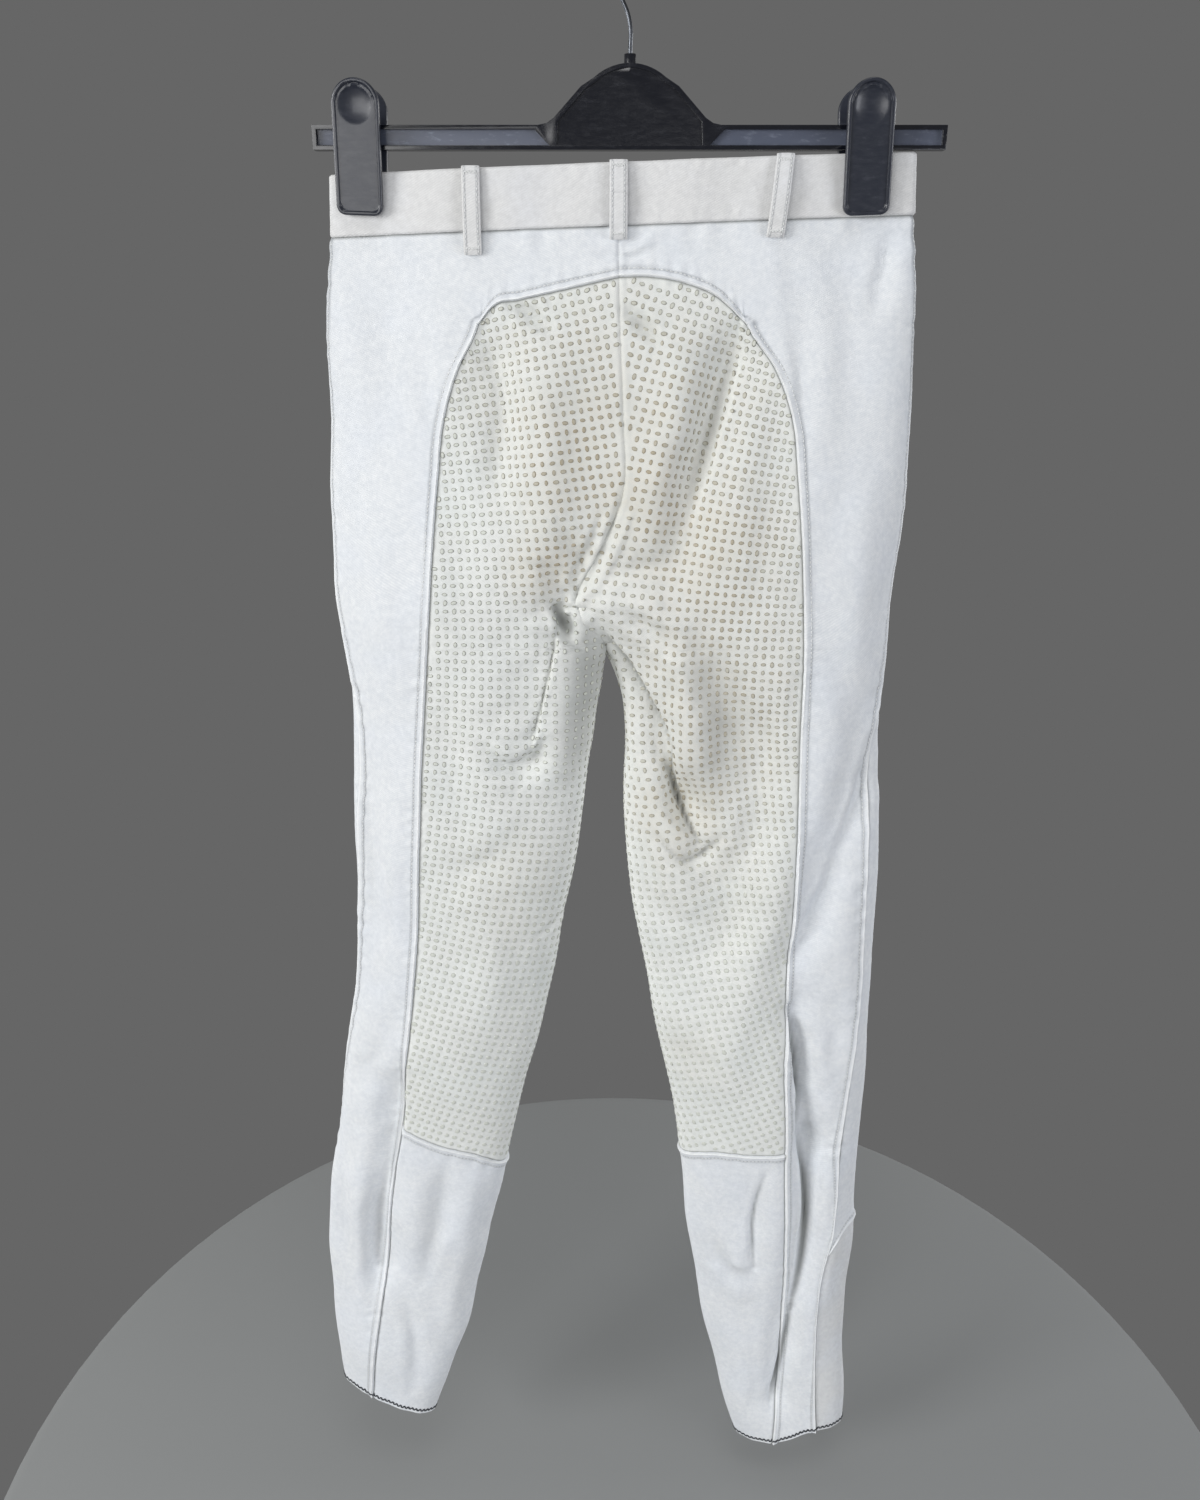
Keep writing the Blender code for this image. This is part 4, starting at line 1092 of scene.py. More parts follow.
class Shading:
    """Node tree of one material, with a short way to add each kind of node that the finishes use."""

    def __init__(self, name: str) -> None:
        """Start a material with its shader and its coordinates.

        Args:
            name: the material's name.
        """
        self.material = bpy.data.materials.new(name)
        self.material.use_nodes = True
        self.tree = self.material.node_tree
        coordinates = self.add("ShaderNodeTexCoord").outputs
        self.place, self.flat = coordinates["Object"], coordinates["UV"]

    def feed(self, node: bpy.types.Node, inputs: Inputs) -> None:
        """Give a node its inputs.

        Args:
            node: the node.
            inputs: by name or number, an output to link, a value or a hex colour.
        """
        for key, value in inputs.items():
            if isinstance(value, bpy.types.NodeSocket):
                self.tree.links.new(value, node.inputs[key])
            else:
                node.inputs[key].default_value = linear(value) if isinstance(value, str) else value

    def add(self, kind: str, inputs: Inputs | None = None, **settings: str) -> bpy.types.Node:
        """Add a node.

        Args:
            kind: its type name.
            inputs: its inputs, as feed takes them.
            settings: its own settings.

        Returns:
            The node.
        """
        node = self.tree.nodes.new(kind)
        for key, value in settings.items():
            setattr(node, key, value)
        self.feed(node, inputs or {})
        return node

    def noise(self, vector: Source, scale: float, detail: float, roughness: float = 0.5) -> Source:
        """Cloudy noise from 0 to 1, with scale clouds to the metre."""
        return self.add("ShaderNodeTexNoise", {"Vector": vector, "Scale": scale, "Detail": detail,
                                               "Roughness": roughness}).outputs["Fac"]

    def mark(self, name: str) -> Source:
        """Value that the mesh carries at its points."""
        return self.add("ShaderNodeAttribute", attribute_name=name).outputs["Fac"]

    def spread(self, value: Source, low: float, high: float, first: float = 0.0, last: float = 1.0) -> Source:
        """Value carried from low..high to first..last, and held past both ends."""
        return self.add("ShaderNodeMapRange", {0: value, 1: low, 2: high, 3: first, 4: last}).outputs[0]

    def product(self, value: Source, factor: Source) -> Source:
        """One value times another."""
        return self.add("ShaderNodeMath", {0: value, 1: factor}, operation="MULTIPLY").outputs[0]

    def blend(self, under: Source, over: Source, share: Source) -> Source:
        """Colour with a share of another colour over it."""
        return self.add("ShaderNodeMix", {0: share, 6: under, 7: over}, data_type="RGBA").outputs[2]

    def bump(self, height: Source, strength: float, distance: float) -> Source:
        """Normal that stands for a fine relief."""
        return self.add("ShaderNodeBump", {"Height": height, "Strength": strength,
                                           "Distance": distance}).outputs[0]

    def stained(self, colour: Source, tint: str, clouds: list[Source], span: tuple[float, float],
                gain: float) -> Source:
        """Wear over a colour: soft balls of stain round the seat's middle and the knees, broken by clouds.

        Args:
            colour: what is worn.
            tint: colour of the wear.
            clouds: one noise for each stain.
            span: products of ball and cloud at which the stain begins and is full.
            gain: share of the stains' strength.

        Returns:
            The worn colour.
        """
        for (centre, size, strength), cloud in zip(STAINS, clouds):
            moved = self.add("ShaderNodeMapping", {"Vector": self.place, "Location": centre, "Scale": size},
                             vector_type="TEXTURE").outputs[0]
            ball = self.add("ShaderNodeTexGradient", {"Vector": moved}, gradient_type="SPHERICAL")
            amount = self.spread(self.product(ball.outputs["Fac"], cloud), *span, 0.0, strength * gain)
            colour = self.blend(colour, tint, amount)
        return colour

    def finished(self, inputs: Inputs) -> bpy.types.Material:
        """Give the shader itself its inputs and hand over the material."""
        self.feed(self.tree.nodes["Principled BSDF"], inputs)
        return self.material


# Where the seat has worn yellow, and a broad ball that makes the right seat and thigh darker: centre and
# half-sizes in metres, and strength
STAINS = (
    ((-0.020, -0.03, -0.300), (0.075, 0.08, 0.070), 0.60),
    ((0.040, -0.03, -0.330), (0.070, 0.08, 0.060), 0.40),
    ((-0.045, -0.03, -0.350), (0.045, 0.08, 0.035), 0.65),
    ((0.030, -0.03, -0.510), (0.040, 0.08, 0.050), 0.55),
    ((-0.075, -0.03, -0.560), (0.060, 0.08, 0.060), 0.28),
    ((0.045, -0.03, -0.690), (0.040, 0.08, 0.040), 0.30),
    # darker over the right seat and thigh
    ((0.050, -0.03, -0.420), (0.090, 0.10, 0.240), 0.55),
    ((-0.005, -0.03, -0.245), (0.120, 0.10, 0.085), 0.50),
)


@dataclass(frozen=True)
class WovenFinish:
    """Stretch cloth: polyamide and elastane twill or knit, dull, with a fine diagonal grain.

    The real threads stand 0.3 mm apart, too fine to show, so the grain is drawn as wide as grain_mm.
    """

    name: str
    ground: str
    shade: str
    grain_mm: float = 1.1
    roughness: float = 0.86
    bump: float = 0.5
    soil: float = 0.0            # how strongly the seat's wear stains it
    soil_colour: str = "#B3A27C"
    cool: str = "#DADFE6"        # bluish cast of the outer panels' dye
    twill_turn: float = 62.0     # of the grain, in degrees

    def build(self) -> bpy.types.Material:
        """Ground colour with grain, mottling and seat stains; painted shade at the seams, stitches and
        creases and a painted highlight on rolled edges; and a bump of its grain.
        """
        look = Shading(self.name)
        turn = (0.0, 0.0, math.radians(self.twill_turn))
        turned = look.add("ShaderNodeMapping", {"Vector": look.flat, "Rotation": turn}).outputs[0]
        waves = 0.1 * math.pi / (self.grain_mm * MM)
        grain = look.add("ShaderNodeTexWave", {"Vector": turned, "Scale": waves, "Distortion": 2.2,
                                               "Detail": 1.5, "Detail Scale": 1.6}).outputs["Fac"]
        fuzz = look.noise(look.flat, 1250.0, 2.0)
        weave = look.add("ShaderNodeMix", {0: 0.55, 2: grain, 3: fuzz}, data_type="FLOAT").outputs[0]
        colour = look.blend(self.ground, self.shade, look.spread(weave, 0.25, 0.80, 0.0, 0.45))
        mottle = look.noise(look.place, 26.0, 3.0, 0.6)
        colour = look.blend(colour, self.cool, look.spread(mottle, 0.42, 0.72, 0.0, 0.55))
        if self.soil:
            clouds = [look.noise(look.place, 34.0 + 7 * number, 4.0) for number in range(len(STAINS))]
            colour = look.stained(colour, self.soil_colour, clouds, (0.04, 0.42), self.soil)
        speckle = look.noise(look.place, 280.0, 2.0, 0.7)
        colour = look.blend(colour, self.shade, look.spread(speckle, 0.3, 0.7, 0.0, 0.52))
        # Painted light from the mesh's marks: painted shade beside seams, under the waistband and in creases,
        # a painted highlight on rolled edges, and painted shade along stitch rows.
        for mark, tint, amount in (("shade", "#62645F", 0.8), ("fold", "#F6F7F6", 0.55),
                                   ("painted_stitch_shade", "#7B8086", 0.62)):
            colour = look.blend(colour, tint, look.product(look.mark(mark), amount))
        return look.finished({"Base Color": colour, "Normal": look.bump(weave, self.bump, 0.00022),
                              "Roughness": self.roughness, "Sheen Weight": 0.12, "Sheen Roughness": 0.5,
                              "IOR": 1.5})


@dataclass(frozen=True)
class PrintFinish:
    """Printed silicone: milky grey gel with a soft gloss, a painted highlight on its top and painted shade on
    its steep rim, browner where the seat wears it.
    """

    name: str = "printed_silicone"
    # top is the dot's painted highlight, rim its painted shade
    top: str = "#CBCEC6"
    rim: str = "#909187"
    worn: str = "#978769"
    clean: str = "#C8CBC3"       # of the legs' lower part, which wears little

    def build(self) -> bpy.types.Material:
        """Painted highlight on the top and painted shade on the rim, by the dot's own height; browned in the
        seat, cleaner down the leg.
        """
        look = Shading(self.name)
        # painted shade on the dot's sides, painted highlight on its top
        colour = look.blend(self.rim, self.top, look.spread(look.mark("rise"), 0.74, 0.98))
        blotch = look.noise(look.place, 55.0, 3.0, 0.7)
        colour = look.stained(colour, self.worn, [blotch] * len(STAINS), (0.05, 0.4), 1.0)
        height = look.add("ShaderNodeSeparateXYZ", {0: look.place}).outputs["Z"]
        colour = look.blend(colour, self.clean, look.spread(height, -0.46, -0.64, 0.0, 0.80))
        return look.finished({"Base Color": colour, "Roughness": 0.42, "IOR": 1.41})


@dataclass(frozen=True)
class ThreadFinish:
    """Spun polyester thread: dull, with a fine twist that shows as light and dark along it."""

    name: str
    colour: str
    dark: str

    def build(self) -> bpy.types.Material:
        """Thread colour broken by fine noise."""
        look = Shading(self.name)
        twist = look.noise(look.place, 900.0, 2.0)
        return look.finished({"Base Color": look.blend(self.colour, self.dark, twist), "Roughness": 0.7})


@dataclass(frozen=True)
class MouldedFinish:
    """Injection-moulded plastic, glossy from a polished mould and lightly scuffed by use."""

    name: str
    body: str
    scuff: str
    roughness: float
    scuffed: float
    coat: float = 0.0

    def build(self) -> bpy.types.Material:
        """Body colour with faint scuffs that also dull the gloss, and a slight unevenness of the skin."""
        look = Shading(self.name)
        stretched = look.add("ShaderNodeMapping", {"Vector": look.place, "Scale": (1.0, 1.0, 3.2),
                                                   "Rotation": (0.2, 0.5, 0.0)}).outputs[0]
        marks = look.noise(stretched, 140.0, 5.0, 0.7)
        skin = look.noise(look.place, 60.0, 2.0)
        scuffs = look.spread(marks, 0.55, 0.75, 0.0, self.scuffed)
        rough = look.spread(marks, 0.3, 0.8, self.roughness, self.roughness + 0.16)
        return look.finished({"Base Color": look.blend(self.body, self.scuff, scuffs), "Roughness": rough,
                              "Normal": look.bump(skin, 0.12, 0.0004), "IOR": 1.59,
                              "Coat Weight": self.coat, "Coat Roughness": 0.12})


@dataclass(frozen=True)
class SteelFinish:
    """Zinc-plated drawn steel: grey metal with fine lines along the drawing."""

    name: str = "zinc_plated_steel"
    colour: str = "#6A6D72"
    dark: str = "#45484D"

    def build(self) -> bpy.types.Material:
        """Metal colour and roughness varied by stretched noise."""
        look = Shading(self.name)
        drawn = look.add("ShaderNodeMapping", {"Vector": look.place, "Scale": (9.0, 9.0, 1.0)}).outputs[0]
        lines = look.noise(drawn, 220.0, 3.0)
        return look.finished({"Base Color": look.blend(self.colour, self.dark, lines), "Metallic": 1.0,
                              "Roughness": look.spread(lines, 0.3, 0.7, 0.26, 0.46)})


class Palette:
    """The finishes, each built once."""

    def __init__(self) -> None:
        """Build every material."""
        self.white = WovenFinish("brushed_white_stretch_twill", "#E6E8E9", "#C6CBD1").build()
        self.band = WovenFinish("white_twill_waistband", "#DFDFDE", "#C4C4C4", 1.2,
                                cool="#DCDEE2").build()
        self.silicone_ground = WovenFinish("full_seat_knit", "#E6E7E4", "#CACDCA", 0.9, 0.8, 0.4, 0.34,
                                           cool="#DBE0DE").build()
        self.elastic = WovenFinish("ribbed_ankle_elastic", "#DEDFDE", "#BFC1C3", 1.4, 0.86, 0.8).build()
        self.dots = PrintFinish().build()
        self.thread = ThreadFinish("white_polyester_thread", "#EFF0EE", "#C4C6C6").build()
        self.serging = ThreadFinish("grey_overlock_thread", "#33363C", "#1E2126").build()
        self.frame = MouldedFinish("glossy_black_polystyrene", "#0F1119", "#3B3F4B", 0.14, 0.12, 0.4).build()
        # The bar's recess floors: the same black plastic, drawn lighter slate as a painted reflection of the
        # lamps, with real scuffs on it.
        self.recess = MouldedFinish("scuffed_black_polystyrene_painted_sheen", "#4C5262", "#8A90A0", 0.34, 0.5, 0.2).build()
        self.clip = MouldedFinish("satin_black_clip_plastic", "#1F232E", "#4A4E5A", 0.3, 0.25, 0.2).build()
        self.button = MouldedFinish("pale_polyester_button", "#D9D5C9", "#B9B5A8", 0.3, 0.25).build()
        self.steel = SteelFinish().build()


@dataclass(frozen=True)
class Cut:
    """Flat cut of a cloth piece: width and length in metres, and the share of them that it fills."""

    width: float
    length: float
    share: float


def install_cloth(piece: bpy.types.Object, node: str) -> None:
    """Install a cloth piece in place of its solid."""
    install(piece, node)


@dataclass
class Stitching:
    """Rows of stitches, gathered as paths and made into one piece."""

    name: str
    length: float = 1.9
    gap: float = 0.75
    breadth: float = 0.30
    origins: list[np.ndarray] = field(default_factory=list)
    axes: list[np.ndarray] = field(default_factory=list)

    def row(self, path: np.ndarray, normals: np.ndarray) -> None:
        """Stitches along a path that lies on the cloth.

        Args:
            path: points in order.
            normals: the cloth's outward normal at each point.
        """
        lengths = running_length(path)
        pitch = self.length + self.gap
        middles = np.arange(pitch / 2, lengths[-1] - pitch / 2, pitch)
        if not len(middles):
            return
        ends = [self.at(path, lengths, middles + sign * self.length / 2) for sign in (-1, 1)]
        outward = unit(self.at(normals, lengths, middles))
        self.single(ends[0], ends[1], outward)

    def single(self, first: np.ndarray, second: np.ndarray, outward: np.ndarray) -> None:
        """Stitches from each first point to each second point.

        Args:
            first: where each stitch begins.
            second: where it ends.
            outward: the cloth's normal at each.
        """
        along = (second - first) / 2
        across = unit(np.cross(outward, along)) * self.breadth
        upward = unit(np.cross(along, across)) * self.breadth * 0.85
        self.origins.append((first + second) / 2 + upward * 0.35)
        self.axes.append(np.stack((along, across, upward), axis=1))

    @staticmethod
    def at(values: np.ndarray, lengths: np.ndarray, where: np.ndarray) -> np.ndarray:
        """Values between a path's points, by length along it."""
        return np.stack([np.interp(where, lengths, values[:, k]) for k in range(3)], axis=-1)

    def build(self, material: bpy.types.Material, slot: str) -> None:
        """Make all the stitches one piece that rides on the garment."""
        origins = np.concatenate(self.origins)
        data = repeat(*stitch_template(), origins, np.concatenate(self.axes))
        data.values = {}
        install(make_object(self.name, data, material))
        LOG.info("%s: %d stitches", self.name, len(origins))


@dataclass
class Lattice:
    """How the print lies on a panel: a conformal map, whose rows turn steadily down the leg."""

    origin: tuple[float, float]
    angle: float                # of the rows at the origin, degrees up to the right
    turn_rate: float            # change of that angle for each 100 mm down

    def coordinates(self, x: np.ndarray, z: np.ndarray) -> np.ndarray:
        """Place in the print, in pitches: w = (1 - exp(-k p)) / k turned back by the angle, p = x + iz."""
        p = (x - self.origin[0]) + 1j * (z - self.origin[1])
        k = complex(math.radians(self.turn_rate), DOT_GROWTH) / 100.0
        w = (1 - np.exp(-k * p)) / k * np.exp(-1j * math.radians(self.angle))
        return np.stack((w.real, w.imag), axis=-1) / DOT_PITCH


class Breeches:
    """The garment: panels, silicone print and stitching of both halves."""

    LATTICES = {"left": Lattice((-60.0, -300.0), 5.0, 5.6), "right": Lattice((50.0, -300.0), -9.0, -7.5)}

    def __init__(self, palette: Palette) -> None:
        """Lay out both halves.

        Args:
            palette: the finishes.
        """
        self.palette = palette
        self.halves = [
            HalfCloth(HalfForm("left", -1, LEFT_SECTIONS, LEFT_SEAMS, LEFT_LINES)),
            HalfCloth(HalfForm("right", 1, RIGHT_SECTIONS, RIGHT_SEAMS, RIGHT_LINES)),
        ]

    def build(self) -> None:
        """Make every piece of both halves."""
        finishes = {"back_panel": (self.palette.white, "white_cloth"),
                    "silicone_seat": (self.palette.silicone_ground, "silicone_cloth"),
                    "calf_panel": (self.palette.white, "white_cloth"),
                    "front_panel": (self.palette.white, "white_cloth"),
                    "ankle_panel": (self.palette.elastic, "elastic_cloth")}
        for cloth in self.halves:
            for panel, (material, slot) in finishes.items():
                self.panel(cloth, panel, material, slot)
            self.silicone_dots(cloth)
            self.topstitching(cloth)
            self.hem_serging(cloth)

    @staticmethod
    def panel(cloth: HalfCloth, panel: str, material: bpy.types.Material, slot: str) -> None:
        """One cut piece as a thin shell in place of its solid."""
        relief, _, marks = cloth.seam_relief(panel)
        outer = cloth.offset(CLOTH + cloth.creases + relief).reshape(-1, 3)
        inner = cloth.offset(SHELL_INNER + cloth.creases).reshape(-1, 3)
        marks = {key: value.ravel() for key, value in marks.items()}
        data = shell(outer, inner, cloth.quads(cloth.cells(panel)), cloth.flat_places(), marks)
        node = f"{cloth.form.name}_{panel}"
        piece = make_object(node + "_cloth", data, material, CLOTH_SHARP)
        install_cloth(piece, node)
        LOG.info("%s: %d faces", piece.name, len(data.faces))

    def print_places(self, cloth: HalfCloth) -> np.ndarray:
        """Place of every grid point in the print, its x laid flat from the seat seam.

        Args:
            cloth: the half.

        Returns:
            Rows by columns by 2, in pitches of the print.
        """
        seam = slice(COLUMN["outer"], COLUMN["outer"] + 1)
        seam_x, seam_across = cloth.base[:, seam, 0], cloth.across[:, seam]
        from_seam = cloth.across - seam_across
        wrapped = -(seam_across + (cloth.across[:, -1:] - cloth.across))
        columns = np.arange(cloth.across.shape[1])[None]
        flat_x = seam_x + cloth.form.side * np.where(columns >= COLUMN["inner"], wrapped, from_seam)
        return self.LATTICES[cloth.form.name].coordinates(flat_x, cloth.base[..., 2])

    def dot_places(self, cloth: HalfCloth) -> tuple[np.ndarray, ...]:
        """Where the print's lattice points fall on the panel.

        Every triangle of the panel's outer face is carried to print coordinates; where a whole-number point
        lies inside it, a dot goes to the same shares of the triangle's corners.

        Args:
            cloth: the half.

        Returns:
            For each dot its middle, the way of the print's rows, the cloth's outward normal, and True where
            it lies across the rows: dots lie across and along by turns, as in a basket weave.
        """
        relief, edge, _ = cloth.seam_relief("silicone_seat")
        skin = cloth.offset(CLOTH + cloth.creases + relief).reshape(-1, 3)
        quads = grid_quads(point_numbers(cloth.across.shape))[cloth.cells("silicone_seat")]
        corners = np.concatenate((quads[:, (0, 1, 2)], quads[:, (0, 2, 3)]))
        uv = self.print_places(cloth).reshape(-1, 2)[corners]
        points = skin[cloth.vertex_numbers().ravel()[corners]]
        wanted = np.round(uv.mean(axis=1))
        side_u, side_v = uv[:, 1] - uv[:, 0], uv[:, 2] - uv[:, 0]
        rest = wanted - uv[:, 0]
        area = side_u[:, 0] * side_v[:, 1] - side_u[:, 1] * side_v[:, 0]
        area = np.where(np.abs(area) < 1e-12, 1e-12, area)
        share_u = (rest[:, 0] * side_v[:, 1] - rest[:, 1] * side_v[:, 0]) / area
        share_v = (side_u[:, 0] * rest[:, 1] - side_u[:, 1] * rest[:, 0]) / area
        near_edge = edge.ravel()[corners].min(axis=1) < DOT_CLEAR
        hit = (share_u >= 0) & (share_v >= 0) & (share_u + share_v <= 1) & ~near_edge
        to_u, to_v = points[:, 1] - points[:, 0], points[:, 2] - points[:, 0]
        origins = points[:, 0] + share_u[:, None] * to_u + share_v[:, None] * to_v
        row_way = (side_v[:, 1:2] * to_u - side_u[:, 1:2] * to_v) / area[:, None]
        outward = unit(np.cross(to_u, to_v))
        facing = cloth.normals.reshape(-1, 3)[corners[:, 0]]
        outward *= np.sign(np.einsum("nk,nk->n", outward, facing))[:, None]
        crossed = (wanted.sum(axis=1) % 2 > 0.5)[:, None]
        return origins[hit], unit(row_way[hit]), outward[hit], crossed[hit]

    def silicone_dots(self, cloth: HalfCloth) -> None:
        """Dots of the print, uneven in size and way as a worn print is, and broader down the leg.

        Args:
            cloth: the half.
        """
        origins, row_way, outward, crossed = self.dot_places(cloth)
        length_way = np.where(crossed, np.cross(outward, row_way), row_way)
        chance = np.random.default_rng(5)
        lean = np.radians(chance.normal(0.0, DOT_LEAN, len(origins)))[:, None]
        length_way = unit(length_way * np.cos(lean) + np.cross(outward, length_way) * np.sin(lean))
        grow = chance.uniform(1 - DOT_UNEVEN, 1 + DOT_UNEVEN, (len(origins), 1))
        low = smooth(origins[:, 2:], *DOT_SWELL_Z)
        grow = grow * (1 + low * DOT_SWELL / 3)
        axes = np.stack((length_way * DOT_LENGTH / 2 * grow,
                         np.cross(outward, length_way) * DOT_BREADTH / 2 * grow * (1 + low * DOT_SWELL),
                         outward * DOT_HEIGHT), axis=1)
        data = repeat(*dot_template(), origins, axes)
        piece = make_object(f"{cloth.form.name}_silicone_dots", data, self.palette.dots)
        install(piece)
        LOG.info("%s: %d dots", piece.name, len(origins))

    @staticmethod
    def beside(cloth: HalfCloth, skin: np.ndarray, line: GridLine, distance: float,
               margin: float = 0.0) -> tuple[np.ndarray, np.ndarray]:
        """Path on the cloth at a signed distance from a grid line, with its normals.

        Args:
            cloth: the half.
            skin: outer face of the panel that the path runs on.
            line: the seam's line.
            distance: across the line, positive toward higher grid numbers.
            margin: added past both ends, negative to stop short.

        Returns:
            Points and normals.
        """
        if line.way is Way.DOWN:
            values, number = cloth.across, COLUMN[line.line]
            first, last = ROW[line.first], ROW[line.last]
            grids = [values, skin, cloth.normals]
        else:
            values, number = cloth.down.T, ROW[line.line]
            first, last = COLUMN[line.first], COLUMN[line.last]
            grids = [values, skin.transpose(1, 0, 2), cloth.normals.transpose(1, 0, 2)]
        picked = slice(first, last + 1)
        lengths, points, normals = (grid[picked] for grid in grids)
        target = lengths[:, number] + distance
        low = np.clip((lengths < target[:, None]).sum(axis=1) - 1, 0, lengths.shape[1] - 2)
        rows = np.arange(len(lengths))
        share = (target - lengths[rows, low]) / (lengths[rows, low + 1] - lengths[rows, low])
        share = np.clip(share, 0.0, 1.0)[:, None]
        path = points[rows, low] * (1 - share) + points[rows, low + 1] * share
        facing = normals[rows, low] * (1 - share) + normals[rows, low + 1] * share
        run = running_length(path)
        keep = (run >= -margin) & (run <= run[-1] + margin)
        return path[keep], facing[keep]

    def topstitching(self, cloth: HalfCloth) -> None:
        """Rows of stitches beside the lapped seams, on the panel that lies on top."""
        rows = Stitching(f"{cloth.form.name}_topstitching")
        for seam in SEAMS:
            skin = cloth.skin(seam.upper[0])
            for line, side in zip(seam.lines, seam.sides):
                rows.row(*self.beside(cloth, skin, line, side * seam.stitch, seam.margin))
        rows.build(self.palette.thread, "white_cloth")

    def hem_serging(self, cloth: HalfCloth) -> None:
        """Zigzag of grey thread round the hem, between two heights above its edge."""
        rows = Stitching(f"{cloth.form.name}_hem_serging", breadth=SERGING_BREADTH)
        for panel in ("calf_panel", "back_panel", "ankle_panel", "front_panel"):
            skin = cloth.skin(panel)
            for top, bottom, first, last in PANEL_BLOCKS[panel]:
                if bottom != "end":
                    continue
                edge = GridLine(Way.ROUND, "end", first, last)
                low, facing = self.beside(cloth, skin, edge, -SERGING_LOW)
                high, _ = self.beside(cloth, skin, edge, -SERGING_HIGH)
                lengths = running_length(low)
                steps = max(round(lengths[-1] / SERGING_STEP), 2)
                where = np.linspace(0.4, lengths[-1] - 0.4, steps + 1)
                lows, highs, outward = (Stitching.at(line, lengths, where) for line in (low, high, facing))
                zigzag = np.where((np.arange(steps + 1) % 2 > 0)[:, None], highs, lows)
                outward = unit(outward)
                rows.single(zigzag[:-1], zigzag[1:], outward[:-1])
        rows.build(self.palette.serging, "white_cloth")


@dataclass(frozen=True)
class BeltLoop:
    """Belt loop: its middle's x, its side, its lean, and how far it stands off and hangs below the band."""

    name: str
    x: float
    face: Face
    lean: float = 0.0
    bow: float = LOOP_BOW
    drop: float = LOOP_DROP
    creased: bool = False


